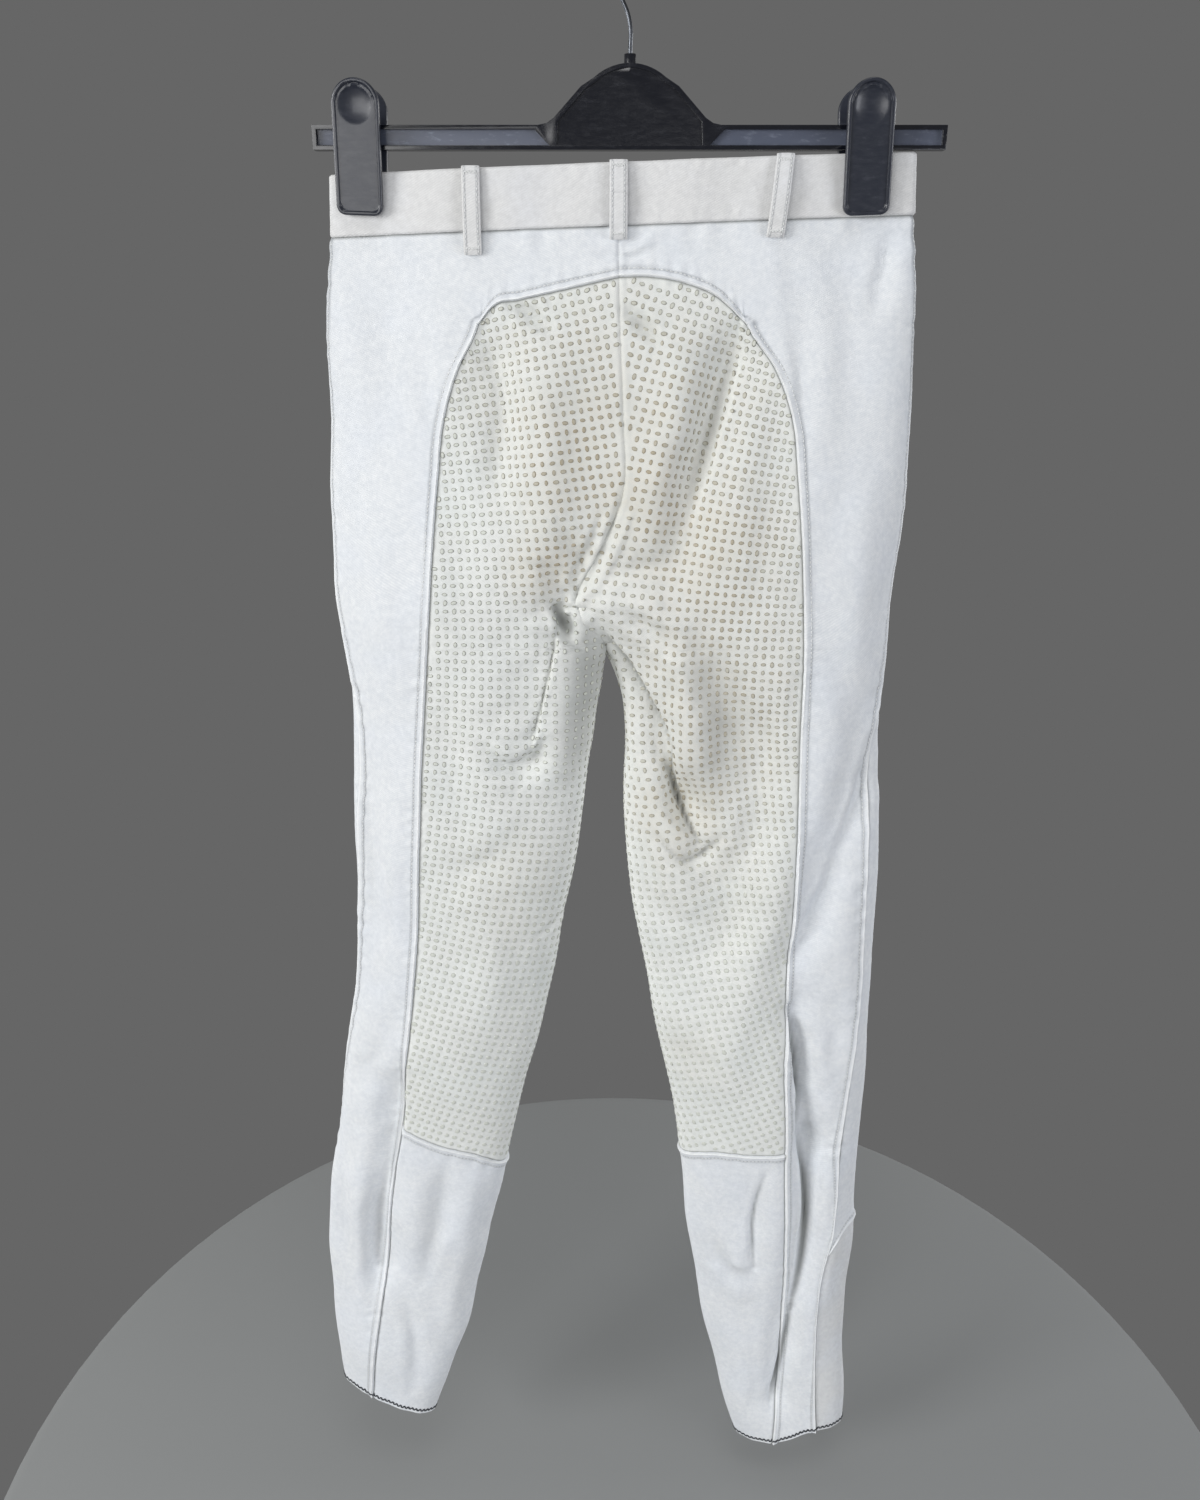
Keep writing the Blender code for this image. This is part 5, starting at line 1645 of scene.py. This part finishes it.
class Waistband:
    """Waistband, belt loops, fly flap and button."""

    MIDDLE_ROWS = 8              # of the grid, between the rows beside the band's two edges
    BUTTON_X = 12.0
    HOLE = 0.17                  # of a button's hole from its middle, in radii, across and up
    LOOPS = (
        BeltLoop("belt_loop_back_left", -87.0, Face.BACK, drop=LOOP_DROP + 3.0),
        BeltLoop("belt_loop_back_centre", -6.0, Face.BACK, drop=LOOP_DROP - 2.0, creased=True),
        BeltLoop("belt_loop_back_right", 83.0, Face.BACK, 4.0, LOOP_BOW + 1.0),
        BeltLoop("belt_loop_front_left", -80.0, Face.FRONT),
        BeltLoop("belt_loop_front_right", 70.0, Face.FRONT),
    )

    def __init__(self, palette: Palette, halves: list[HalfCloth]) -> None:
        """Carry the halves' top rows on upward, from the centre front round the back and to it again.

        Args:
            palette: the finishes.
            halves: the left and the right half.
        """
        self.palette = palette
        self.halves = halves
        edge = np.concatenate((SEAM_STATIONS[:7], np.linspace(6.0, BAND_HEIGHT - 6.0, self.MIDDLE_ROWS)))
        self.levels = np.concatenate((edge, BAND_HEIGHT - SEAM_STATIONS[:7][::-1])) / BAND_HEIGHT
        strips = []
        for half in halves:
            seam = half.base[0, :, 2]
            top = half.form.line_heights(lambda x: waist_height(x) + BAND_HEIGHT, WAIST_Z)
            z = top + (seam - top) * self.levels[:, None]
            strips.append(half.form.surface(half.form.column_turns(z), z))
        left, right = strips
        self.base = np.concatenate((left[:, ::-1], right[:, 1:]), axis=1)
        self.normals = -gradient_normals(self.base, -1)
        self.normals[:, [0, -1], 0] = 0.0
        self.normals[-1, :, 2] = 0.0
        self.normals = unit(self.normals)
        self.across = running_length(self.base, 1)
        self.below_top = self.levels[:, None] * BAND_HEIGHT + 0 * self.across

    def build(self) -> None:
        """Make the band and everything on it."""
        self.band()
        stitches = Stitching("waistband_stitching")
        for loop in self.LOOPS:
            self.loop(stitches, loop)
        self.fly(stitches)
        stitches.build(self.palette.thread, "white_cloth")
        self.button()

    def relief(self) -> np.ndarray:
        """Band's relief: rounded edges, two stitched grooves, puckers and soft waves."""
        below_top, above_seam = self.below_top, BAND_HEIGHT - self.below_top
        waves = ripple(self.across[..., None], 46.0, 80)
        fine = ripple(np.stack((self.across, below_top), axis=-1), 9.0, 81)
        total = 0.45 * waves + 0.10 * fine - 1.2 * bell(below_top, 0.7) - 0.9 * bell(above_seam, 0.5)
        pucker = ripple(self.across[..., None], 8.0, 82)
        return total + 0.16 * pucker * (bell(below_top - 3.0, 2.5) + bell(above_seam - 4.0, 3.0))

    def band(self) -> None:
        """The strip itself, as a thin shell."""
        quads = grid_quads(point_numbers(self.base.shape)).reshape(-1, 4)[:, ::-1]
        outer = self.base + self.normals * (BAND_CLOTH + self.relief())[..., None]
        inner = self.base + self.normals * 0.2
        uv = np.stack((self.across, -self.below_top), axis=-1).reshape(-1, 2) * MM
        data = shell(outer.reshape(-1, 3), inner.reshape(-1, 3), quads, uv, {})
        piece = make_object("waistband_cloth", data, self.palette.band, CLOTH_SHARP)
        install_cloth(piece, "waistband")

    def at(self, x: np.ndarray, z: np.ndarray, face: Face) -> np.ndarray:
        """Points of the band's form, carried on below it.

        Args:
            x: where they are wanted.
            z: their heights.
            face: side of the breeches that they lie on.

        Returns:
            One point for each x and z.
        """
        keep = self.base[0, :, 1] * -face.value > 0
        order = np.argsort(self.base[0, keep, 0])
        top, bottom = (self.base[row][keep][order] for row in (0, -1))
        levels = [np.interp(x, line[:, 0], line[:, 2]) for line in (top, bottom)]
        depths = [np.interp(x, line[:, 0], line[:, 1]) for line in (top, bottom)]
        share = np.clip((z - levels[0]) / (levels[1] - levels[0]), 0.0, 1.0)
        return np.stack((x, depths[0] + share * (depths[1] - depths[0]), z), axis=-1)

    def loop(self, stitches: Stitching, loop: BeltLoop) -> None:
        """Belt loop: a strip with rounded edges that stands off between its stitched and folded ends.

        A point is (share down the loop, angle round its section); the section is a superellipse.

        Args:
            stitches: takes the loop's rows and bar tacks.
            loop: its measures.
        """
        outward = -loop.face.value
        top = waist_height(loop.x) + BAND_HEIGHT
        bottom = top - BAND_HEIGHT - loop.drop
        share = np.linspace(0.0, 1.0, 46)
        z = top + 0.4 + (bottom - top - 0.4) * share
        fold = 0.65 * (bell(share - 0.055, 0.045) + bell(share - 0.945, 0.045))
        crease = -0.55 * loop.creased * bell(share - 0.42, 0.018)
        off = BAND_CLOTH + SEAM_GAP + 0.35 + loop.bow * np.sin(np.pi * share) ** 0.7 + fold + crease
        centre = self.at(loop.x + loop.lean * (0.5 - share), z, loop.face)
        centre[:, 1] += outward * (off + LOOP_CLOTH / 2)
        way = unit(np.gradient(centre, axis=0))
        across = np.array((1.0, 0.0, 0.0)) + 0 * way
        facing = np.cross(way, across)
        wide = LOOP_WIDTH / 2 * signed_power(circle(36)[:, 0], 0.45)
        thick = LOOP_CLOTH / 2 * signed_power(circle(36)[:, 1], 0.75)
        rings = (centre[:, None] + wide[None, :, None] * across[:, None]
                 + thick[None, :, None] * facing[:, None])
        data = MeshData(*ring_solid(rings if loop.face is Face.BACK else rings[:, ::-1]))
        data.uv = data.points[:, (0, 2)] * MM
        # painted shade along the loop's two rows of stitches
        beside_row = np.tile(bell(np.abs(wide) - STITCH_ACROSS, 0.5), len(share))
        data.values = {"painted_stitch_shade": np.concatenate((beside_row, (0.0, 0.0)))}
        piece = make_object(loop.name + "_cloth", data, self.palette.band, MOULDED_SHARP)
        recalculate_normals(piece)
        install_cloth(piece, loop.name)
        normal = np.array((0.0, outward, 0.0)) + 0 * centre
        face = centre + normal * LOOP_CLOTH / 2
        for shift in (-STITCH_ACROSS, STITCH_ACROSS):
            stitches.row(face + (shift, 0.0, 0.0), normal)
        for number in (3, 42):
            bar = face[number] + np.linspace(-3.6, 3.6, 9)[:, None] * (1.0, 0.0, 0.0)
            zigzag = bar + np.array((0.0, 0.0, 1.0)) * np.where(np.arange(9) % 2, 0.8, -0.8)[:, None]
            stitches.single(zigzag[:-1], zigzag[1:], normal[:8])

    def fly(self, stitches: Stitching) -> None:
        """Fly flap over the centre front: a strip of the right half's grid, lifted by one cloth.

        Args:
            stitches: takes the flap's row.
        """
        cloth = self.halves[1]
        first = COLUMN["inner"] + int(np.searchsorted(stations(COLUMN_RUNS[-1]), FLY_SHARE))
        last_row = ROW["seat"] + int(np.searchsorted(stations(ROW_RUNS[1]), FLY_FOOT))
        cells = np.zeros((ROW["end"], COLUMN["end"]), bool)
        cells[:last_row, first:] = True
        lift = CLOTH + SEAM_GAP + cloth.creases + 0.2
        side = np.abs(cloth.across - cloth.across[:, first:first + 1])
        foot = np.abs(cloth.down - cloth.down[last_row:last_row + 1])
        edge = np.minimum(side, foot)
        outer = cloth.offset(lift + 1.3 - 0.5 * bell(edge, 0.6) - 0.3 * bell(edge - 4.0, 0.7)).reshape(-1, 3)
        inner = cloth.offset(lift).reshape(-1, 3)
        data = shell(outer, inner, cloth.quads(cells), cloth.flat_places(), {})
        piece = make_object("fly_flap_cloth", data, self.palette.white, CLOTH_SHARP)
        install_cloth(piece, "fly_flap")
        line = GridLine(Way.DOWN, "inner", "yoke", "thigh")
        shift = cloth.across[:, first] - cloth.across[:, COLUMN["inner"]]
        path, normals = Breeches.beside(cloth, outer.reshape(cloth.base.shape), line,
                                        float(shift[:last_row].mean()) + 4.0)
        stitches.row(path[:last_row], normals[:last_row])

    def button(self) -> None:
        """Four-hole button: height over radius and angle, with a raised rim, a dished middle and holes."""
        place = self.at(np.array(self.BUTTON_X), np.array(WAIST_Z + BAND_HEIGHT / 2), Face.FRONT)
        r = np.array((0.08, 0.14, 0.2, 0.26, 0.32, 0.4, 0.55, 0.68, 0.75, 0.84, 0.92, 0.97, 1.0))[:, None]
        u, v = np.moveaxis(r[..., None] * circle(48), -1, 0)
        height = 0.55 + 0.45 * smooth(r, 0.66, 0.80) - 0.5 * smooth(r, 0.93, 1.0)
        for across, up in ((-1, -1), (1, -1), (-1, 1), (1, 1)):
            height = height - 0.5 * bell(np.hypot(u - across * self.HOLE, v - up * self.HOLE), 0.085)
        front = np.stack((u * BUTTON_RADIUS, height * BUTTON_THICKNESS, v * BUTTON_RADIUS), axis=-1)
        back_ring = np.stack((u[-1:] * BUTTON_RADIUS, 0 * u[-1:], v[-1:] * BUTTON_RADIUS), axis=-1)
        data = MeshData(*ring_solid(np.concatenate((front, back_ring))))
        data.points = data.points + place + (0.0, BAND_CLOTH + SEAM_GAP + 0.3, 0.0)
        piece = make_object("waist_button_moulded", data, self.palette.button, 40.0)
        recalculate_normals(piece)
        install(piece, "waist_button")


@dataclass(frozen=True)
class ClipPlace:
    """Where a clip sits: its middle's x, its levers' inner faces from the cloth's middle, and its roll."""

    name: str
    x: float
    jaw_gap: float
    roll: float


@dataclass
class ClipHanger:
    """Hanger: moulded bar, clips with their springs, and the wire hook."""

    palette: Palette
    bar_bevel_mm: float = 0.95
    clips: tuple[ClipPlace, ...] = (ClipPlace("clip_left", -149.0, 5.8, 2.0),
                                    ClipPlace("clip_right", 131.0, 6.5, -2.0))

    def build(self) -> None:
        """Finish each of the hanger's pieces."""
        bar = self.softened("hanger_bar", self.palette.frame, self.bar_bevel_mm)
        # The recess floors take the lighter finish, a painted reflection on the black plastic.
        bar.data.materials.append(self.palette.recess)
        count = len(bar.data.polygons)
        normals, centres = np.zeros(3 * count), np.zeros(3 * count)
        bar.data.polygons.foreach_get("normal", normals)
        bar.data.polygons.foreach_get("center", centres)
        normals, centres = normals.reshape(-1, 3), centres.reshape(-1, 3) / MM
        floor = (np.abs(normals[:, 1]) > 0.9) & (np.abs(centres[:, 1]) < BAR_FRONT)
        bar.data.polygons.foreach_set("material_index", floor.astype(np.int32))
        for place in self.clips:
            for label, face in (("outer", -1), ("inner", 1)):
                self.lever(place, label, face)
            self.softened(f"{place.name}_spring", self.palette.steel, 0.15)
        self.hook()

    @staticmethod
    def lever_outline() -> tuple[np.ndarray, np.ndarray, np.ndarray]:
        """Grid that fills a lever's outline: a round top, straight sides and rounded lower corners.

        Returns:
            The grid's x and z, and each point's distance inside the outline.
        """
        half, corner = CLIP_WIDTH / 2, CLIP_CORNER
        near = np.array((0.02, 0.15, 0.4, 0.8, 1.3, 1.7, 2.0, 2.3, 2.8, 3.6, 4.8))
        z = np.concatenate((near, np.linspace(6.0, CLIP_HEIGHT - 24.0, 18),
                            np.linspace(CLIP_HEIGHT - 23.0, CLIP_HEIGHT - 5.6, 20), CLIP_HEIGHT - near[::-1]))
        share = np.concatenate((near, np.linspace(6.0, 11.6, 7))) / half - 1
        share = np.concatenate((share, (0.0,), -share[::-1]))
        middle = CLIP_HEIGHT - half
        top = np.sqrt(np.maximum(half ** 2 - np.maximum(z - middle, 0.0) ** 2, 0.0))
        low = half - corner + np.sqrt(corner ** 2 - np.maximum(corner - z, 0.0) ** 2)
        x = share[None] * np.minimum(top, low)[:, None]
        z = z[:, None] + 0 * x
        inside = np.minimum(half - np.abs(x), z)
        inside = np.where(z > middle, half - np.hypot(x, z - middle), inside)
        at_corner = (z < corner) & (np.abs(x) > half - corner)
        corner_way = np.hypot(np.abs(x) - half + corner, corner - z)
        return x, z, np.maximum(np.where(at_corner, corner - corner_way, inside), 0.0)

    def lever(self, place: ClipPlace, label: str, face: int) -> None:
        """Clip lever: a slab whose face is a height over the distance from its outline.

        The edge is a quarter circle, then come a flat rim, a step down to the recess and, near the top, a
        bowl for the thumb with a raised lip above it. The slab leans and rolls about the jaw's middle.

        Args:
            place: the clip's place.
            label: which lever it is.
            face: -1 for the lever on the garment's back, 1 for the one on its front.
        """
        x, z, inside = self.lever_outline()
        dimple_z = CLIP_HEIGHT - CLIP_WIDTH / 2 - 0.5
        rounding = CLIP_EDGE * (1 - np.sqrt(1 - np.clip(1 - inside / CLIP_EDGE, 0.0, 1.0) ** 2))
        from_dimple = np.hypot(x, z - dimple_z)
        bearing = np.arctan2(z - dimple_z, x)
        front = CLIP_WALL / 2 - rounding - CLIP_RECESS * smooth(inside, CLIP_RIM - 0.3, CLIP_RIM + 0.3)
        front -= DIMPLE_DEPTH * np.clip(1 - (from_dimple / DIMPLE_RADIUS) ** 2, 0.0, 1.0)
        lip = bell(from_dimple - DIMPLE_RADIUS - 0.6, 0.45) * smooth(np.sin(bearing), 0.25, 0.55)
        front += DIMPLE_LIP * lip
        back = -CLIP_WALL / 2 + rounding
        local = [np.stack((x, face * depth, z), axis=-1).reshape(-1, 3) for depth in (front, back)]
        lean, roll = math.radians(-face * CLIP_LEAN), math.radians(place.roll)
        turn = np.array(Matrix.Rotation(roll, 3, "Y") @ Matrix.Rotation(lean, 3, "X"))
        jaw = np.array((place.x, face * (place.jaw_gap + CLIP_WALL / 2), CLIP_TOP - CLIP_HEIGHT))
        outer, inner = (points @ turn.T + jaw for points in local)
        quads = grid_quads(point_numbers(x.shape)).reshape(-1, 4)
        data = shell(outer, inner, quads, outer[:, (0, 2)] * MM, {})
        node = f"{place.name}_{label}_lever"
        piece = make_object(node + "_moulded", data, self.palette.clip, MOULDED_SHARP)
        recalculate_normals(piece)
        install(piece, node)

    def softened(self, node: str, material: bpy.types.Material,
                 width: float) -> bpy.types.Object:
        """Moulded piece with its sharp edges rounded: a merged copy of its solid with a bevel.

        Args:
            node: the solid.
            material: its finish.
            width: of the bevel, in millimetres.

        Returns:
            The piece.
        """
        mesh = bpy.data.objects[node].data.copy()
        model = bmesh.new()
        model.from_mesh(mesh)
        bmesh.ops.remove_doubles(model, verts=model.verts, dist=2e-6)
        bmesh.ops.dissolve_limit(model, angle_limit=math.radians(1.0), verts=model.verts, edges=model.edges)
        model.to_mesh(mesh)
        model.free()
        mesh.polygons.foreach_set("use_smooth", np.ones(len(mesh.polygons), bool))
        mesh.materials.clear()
        mesh.materials.append(material)
        piece = bpy.data.objects.new(node + "_moulded", mesh)
        bpy.context.scene.collection.objects.link(piece)
        bevel = piece.modifiers.new("soft_edges", "BEVEL")
        bevel.width = width * MM
        bevel.segments = 3
        bevel.limit_method = "ANGLE"
        bevel.angle_limit = math.radians(38.0)
        bevel.harden_normals = True
        install(piece, node)
        return piece

    def hook(self) -> None:
        """Wire: a round tube up from the collar, over to the left, round the rail and down."""
        centre_z = WIRE_RADIUS - HOOK_RADIUS
        angle = np.radians(np.linspace(*HOOK_TURNS, 90))
        bend = np.stack((HOOK_RADIUS * np.cos(angle), 0 * angle, centre_z + HOOK_RADIUS * np.sin(angle)), -1)
        knots = np.array(((0.0, COLLAR_TOP + SEAM_GAP), (0.0, HOOK_BEND_Z), (-1.2, HOOK_BEND_Z + 5.5),
                          (-4.5, HOOK_BEND_Z + 12.6), (bend[0, 0], bend[0, 2])))
        run = running_length(knots)
        where = np.linspace(0.0, run[-1], 40)[:-1]
        x, z = (Curve.through(run, knots[:, k])(where) for k in (0, 1))
        wire = np.concatenate((np.stack((x, 0 * where, z), axis=-1), bend))
        piece = make_object("hook_wire", tube(wire, WIRE_RADIUS, 16), self.palette.steel)
        recalculate_normals(piece)
        install(piece, "hook")


@dataclass(frozen=True)
class Softbox:
    """Large square lamp aimed at a point, both in metres."""

    name: str
    place: tuple[float, float, float]
    aim: tuple[float, float, float]
    size: float
    power: float
    colour: str


@dataclass
class Studio:
    """Floor, soft lamps, even surroundings and the camera."""

    floor_z: float = -1.105
    floor_radius: float = 0.5
    floor_edge: float = 4.0          # bevel of the floor's rim, in millimetres
    floor_colour: str = "#8C8E8E"
    surround_colour: str = "#666666"
    lens: float = 28.8               # in millimetres, for a sensor 36 mm wide
    camera_place: tuple[float, float, float] = (-0.0162, -0.735, -0.206)
    camera_tilt: float = 70.0        # in degrees from straight down
    lamps: tuple[Softbox, ...] = (
        Softbox("key_softbox", (-2.3, -1.5, 0.15), (0.0, 0.0, -0.6), 1.1, 53.0, "#FFFFFF"),
        Softbox("front_softbox", (-0.88, -2.1, -0.3), (0.0, 0.0, -0.6), 1.25, 16.0, "#FFFFFF"),
        Softbox("fill_softbox", (2.2, -1.5, -0.45), (0.0, 0.0, -0.7), 1.3, 31.0, "#F7F9FF"),
        Softbox("top_softbox", (0.1, -0.9, 1.6), (0.0, 0.0, -0.4), 1.0, 8.0, "#FFFFFF"),
        Softbox("rear_softbox", (2.0, 1.8, -0.2), (0.0, 0.0, -0.5), 1.4, 34.0, "#FFFFFF"),
        Softbox("rear_fill_softbox", (-2.2, 1.4, -0.3), (0.0, 0.0, -0.5), 1.3, 16.0, "#FFFFFF"),
    )

    def build(self) -> None:
        """Set everything up."""
        bpy.context.scene.view_settings.view_transform = "Standard"
        self.floor()
        self.surroundings()
        for lamp in self.lamps:
            self.lamp(lamp)
        self.camera()

    def floor(self) -> None:
        """Round pale floor: rings of points at one height."""
        count, top = 96, self.floor_z / MM
        rings = [np.column_stack((circle(count) * radius / MM, np.full(count, height))) for radius, height in
                 ((self.floor_radius, top - self.floor_edge), (self.floor_radius * 0.98, top))]
        points = np.concatenate((*rings, ((0.0, 0.0, top),)))
        step = np.arange(count)
        after = (step + 1) % count
        faces = np.concatenate((
            np.stack((step, after, count + after), -1), np.stack((step, count + after, count + step), -1),
            np.stack((count + step, count + after, np.full(count, 2 * count)), -1)))
        material = Shading("pale_studio_floor").finished({"Base Color": self.floor_colour, "Roughness": 0.9})
        make_object("studio_floor", MeshData(points, faces), material)

    def surroundings(self) -> None:
        """Even grey all round."""
        world = bpy.data.worlds.new("even_grey")
        world.use_nodes = True
        background = world.node_tree.nodes["Background"]
        background.inputs["Color"].default_value = linear(self.surround_colour)
        background.inputs["Strength"].default_value = 1.0
        bpy.context.scene.world = world

    @staticmethod
    def lamp(lamp: Softbox) -> None:
        """One square area lamp, turned so that its own -Z points at its aim.

        Args:
            lamp: its measures.
        """
        light = bpy.data.lights.new(lamp.name, "AREA")
        light.shape = "SQUARE"
        light.size = lamp.size
        light.energy = lamp.power
        light.color = linear(lamp.colour)[:3]
        obj = bpy.data.objects.new(lamp.name, light)
        obj.location = lamp.place
        way = np.array(lamp.aim) - np.array(lamp.place)
        obj.rotation_euler = (math.acos(-way[2] / np.linalg.norm(way)), 0.0, math.atan2(-way[0], way[1]))
        bpy.context.scene.collection.objects.link(obj)

    def camera(self) -> None:
        """Camera behind the breeches, a little above the waistband's height and tipped down."""
        data = bpy.data.cameras.new("camera")
        data.lens = self.lens
        data.sensor_width = 36.0
        data.clip_start = 0.01
        camera = bpy.data.objects.new("camera", data)
        camera.location = self.camera_place
        camera.rotation_euler = (math.radians(self.camera_tilt), 0.0, 0.0)
        bpy.context.scene.collection.objects.link(camera)
        bpy.context.scene.camera = camera


def main() -> None:
    """Build everything around the frame, in order."""
    logging.basicConfig(level=logging.INFO, format="%(name)s: %(message)s")
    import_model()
    Studio().build()
    palette = Palette()
    breeches = Breeches(palette)
    breeches.build()
    Waistband(palette, breeches.halves).build()
    ClipHanger(palette).build()
    LOG.info("all pieces built")


if __name__ == "__main__":
    main()
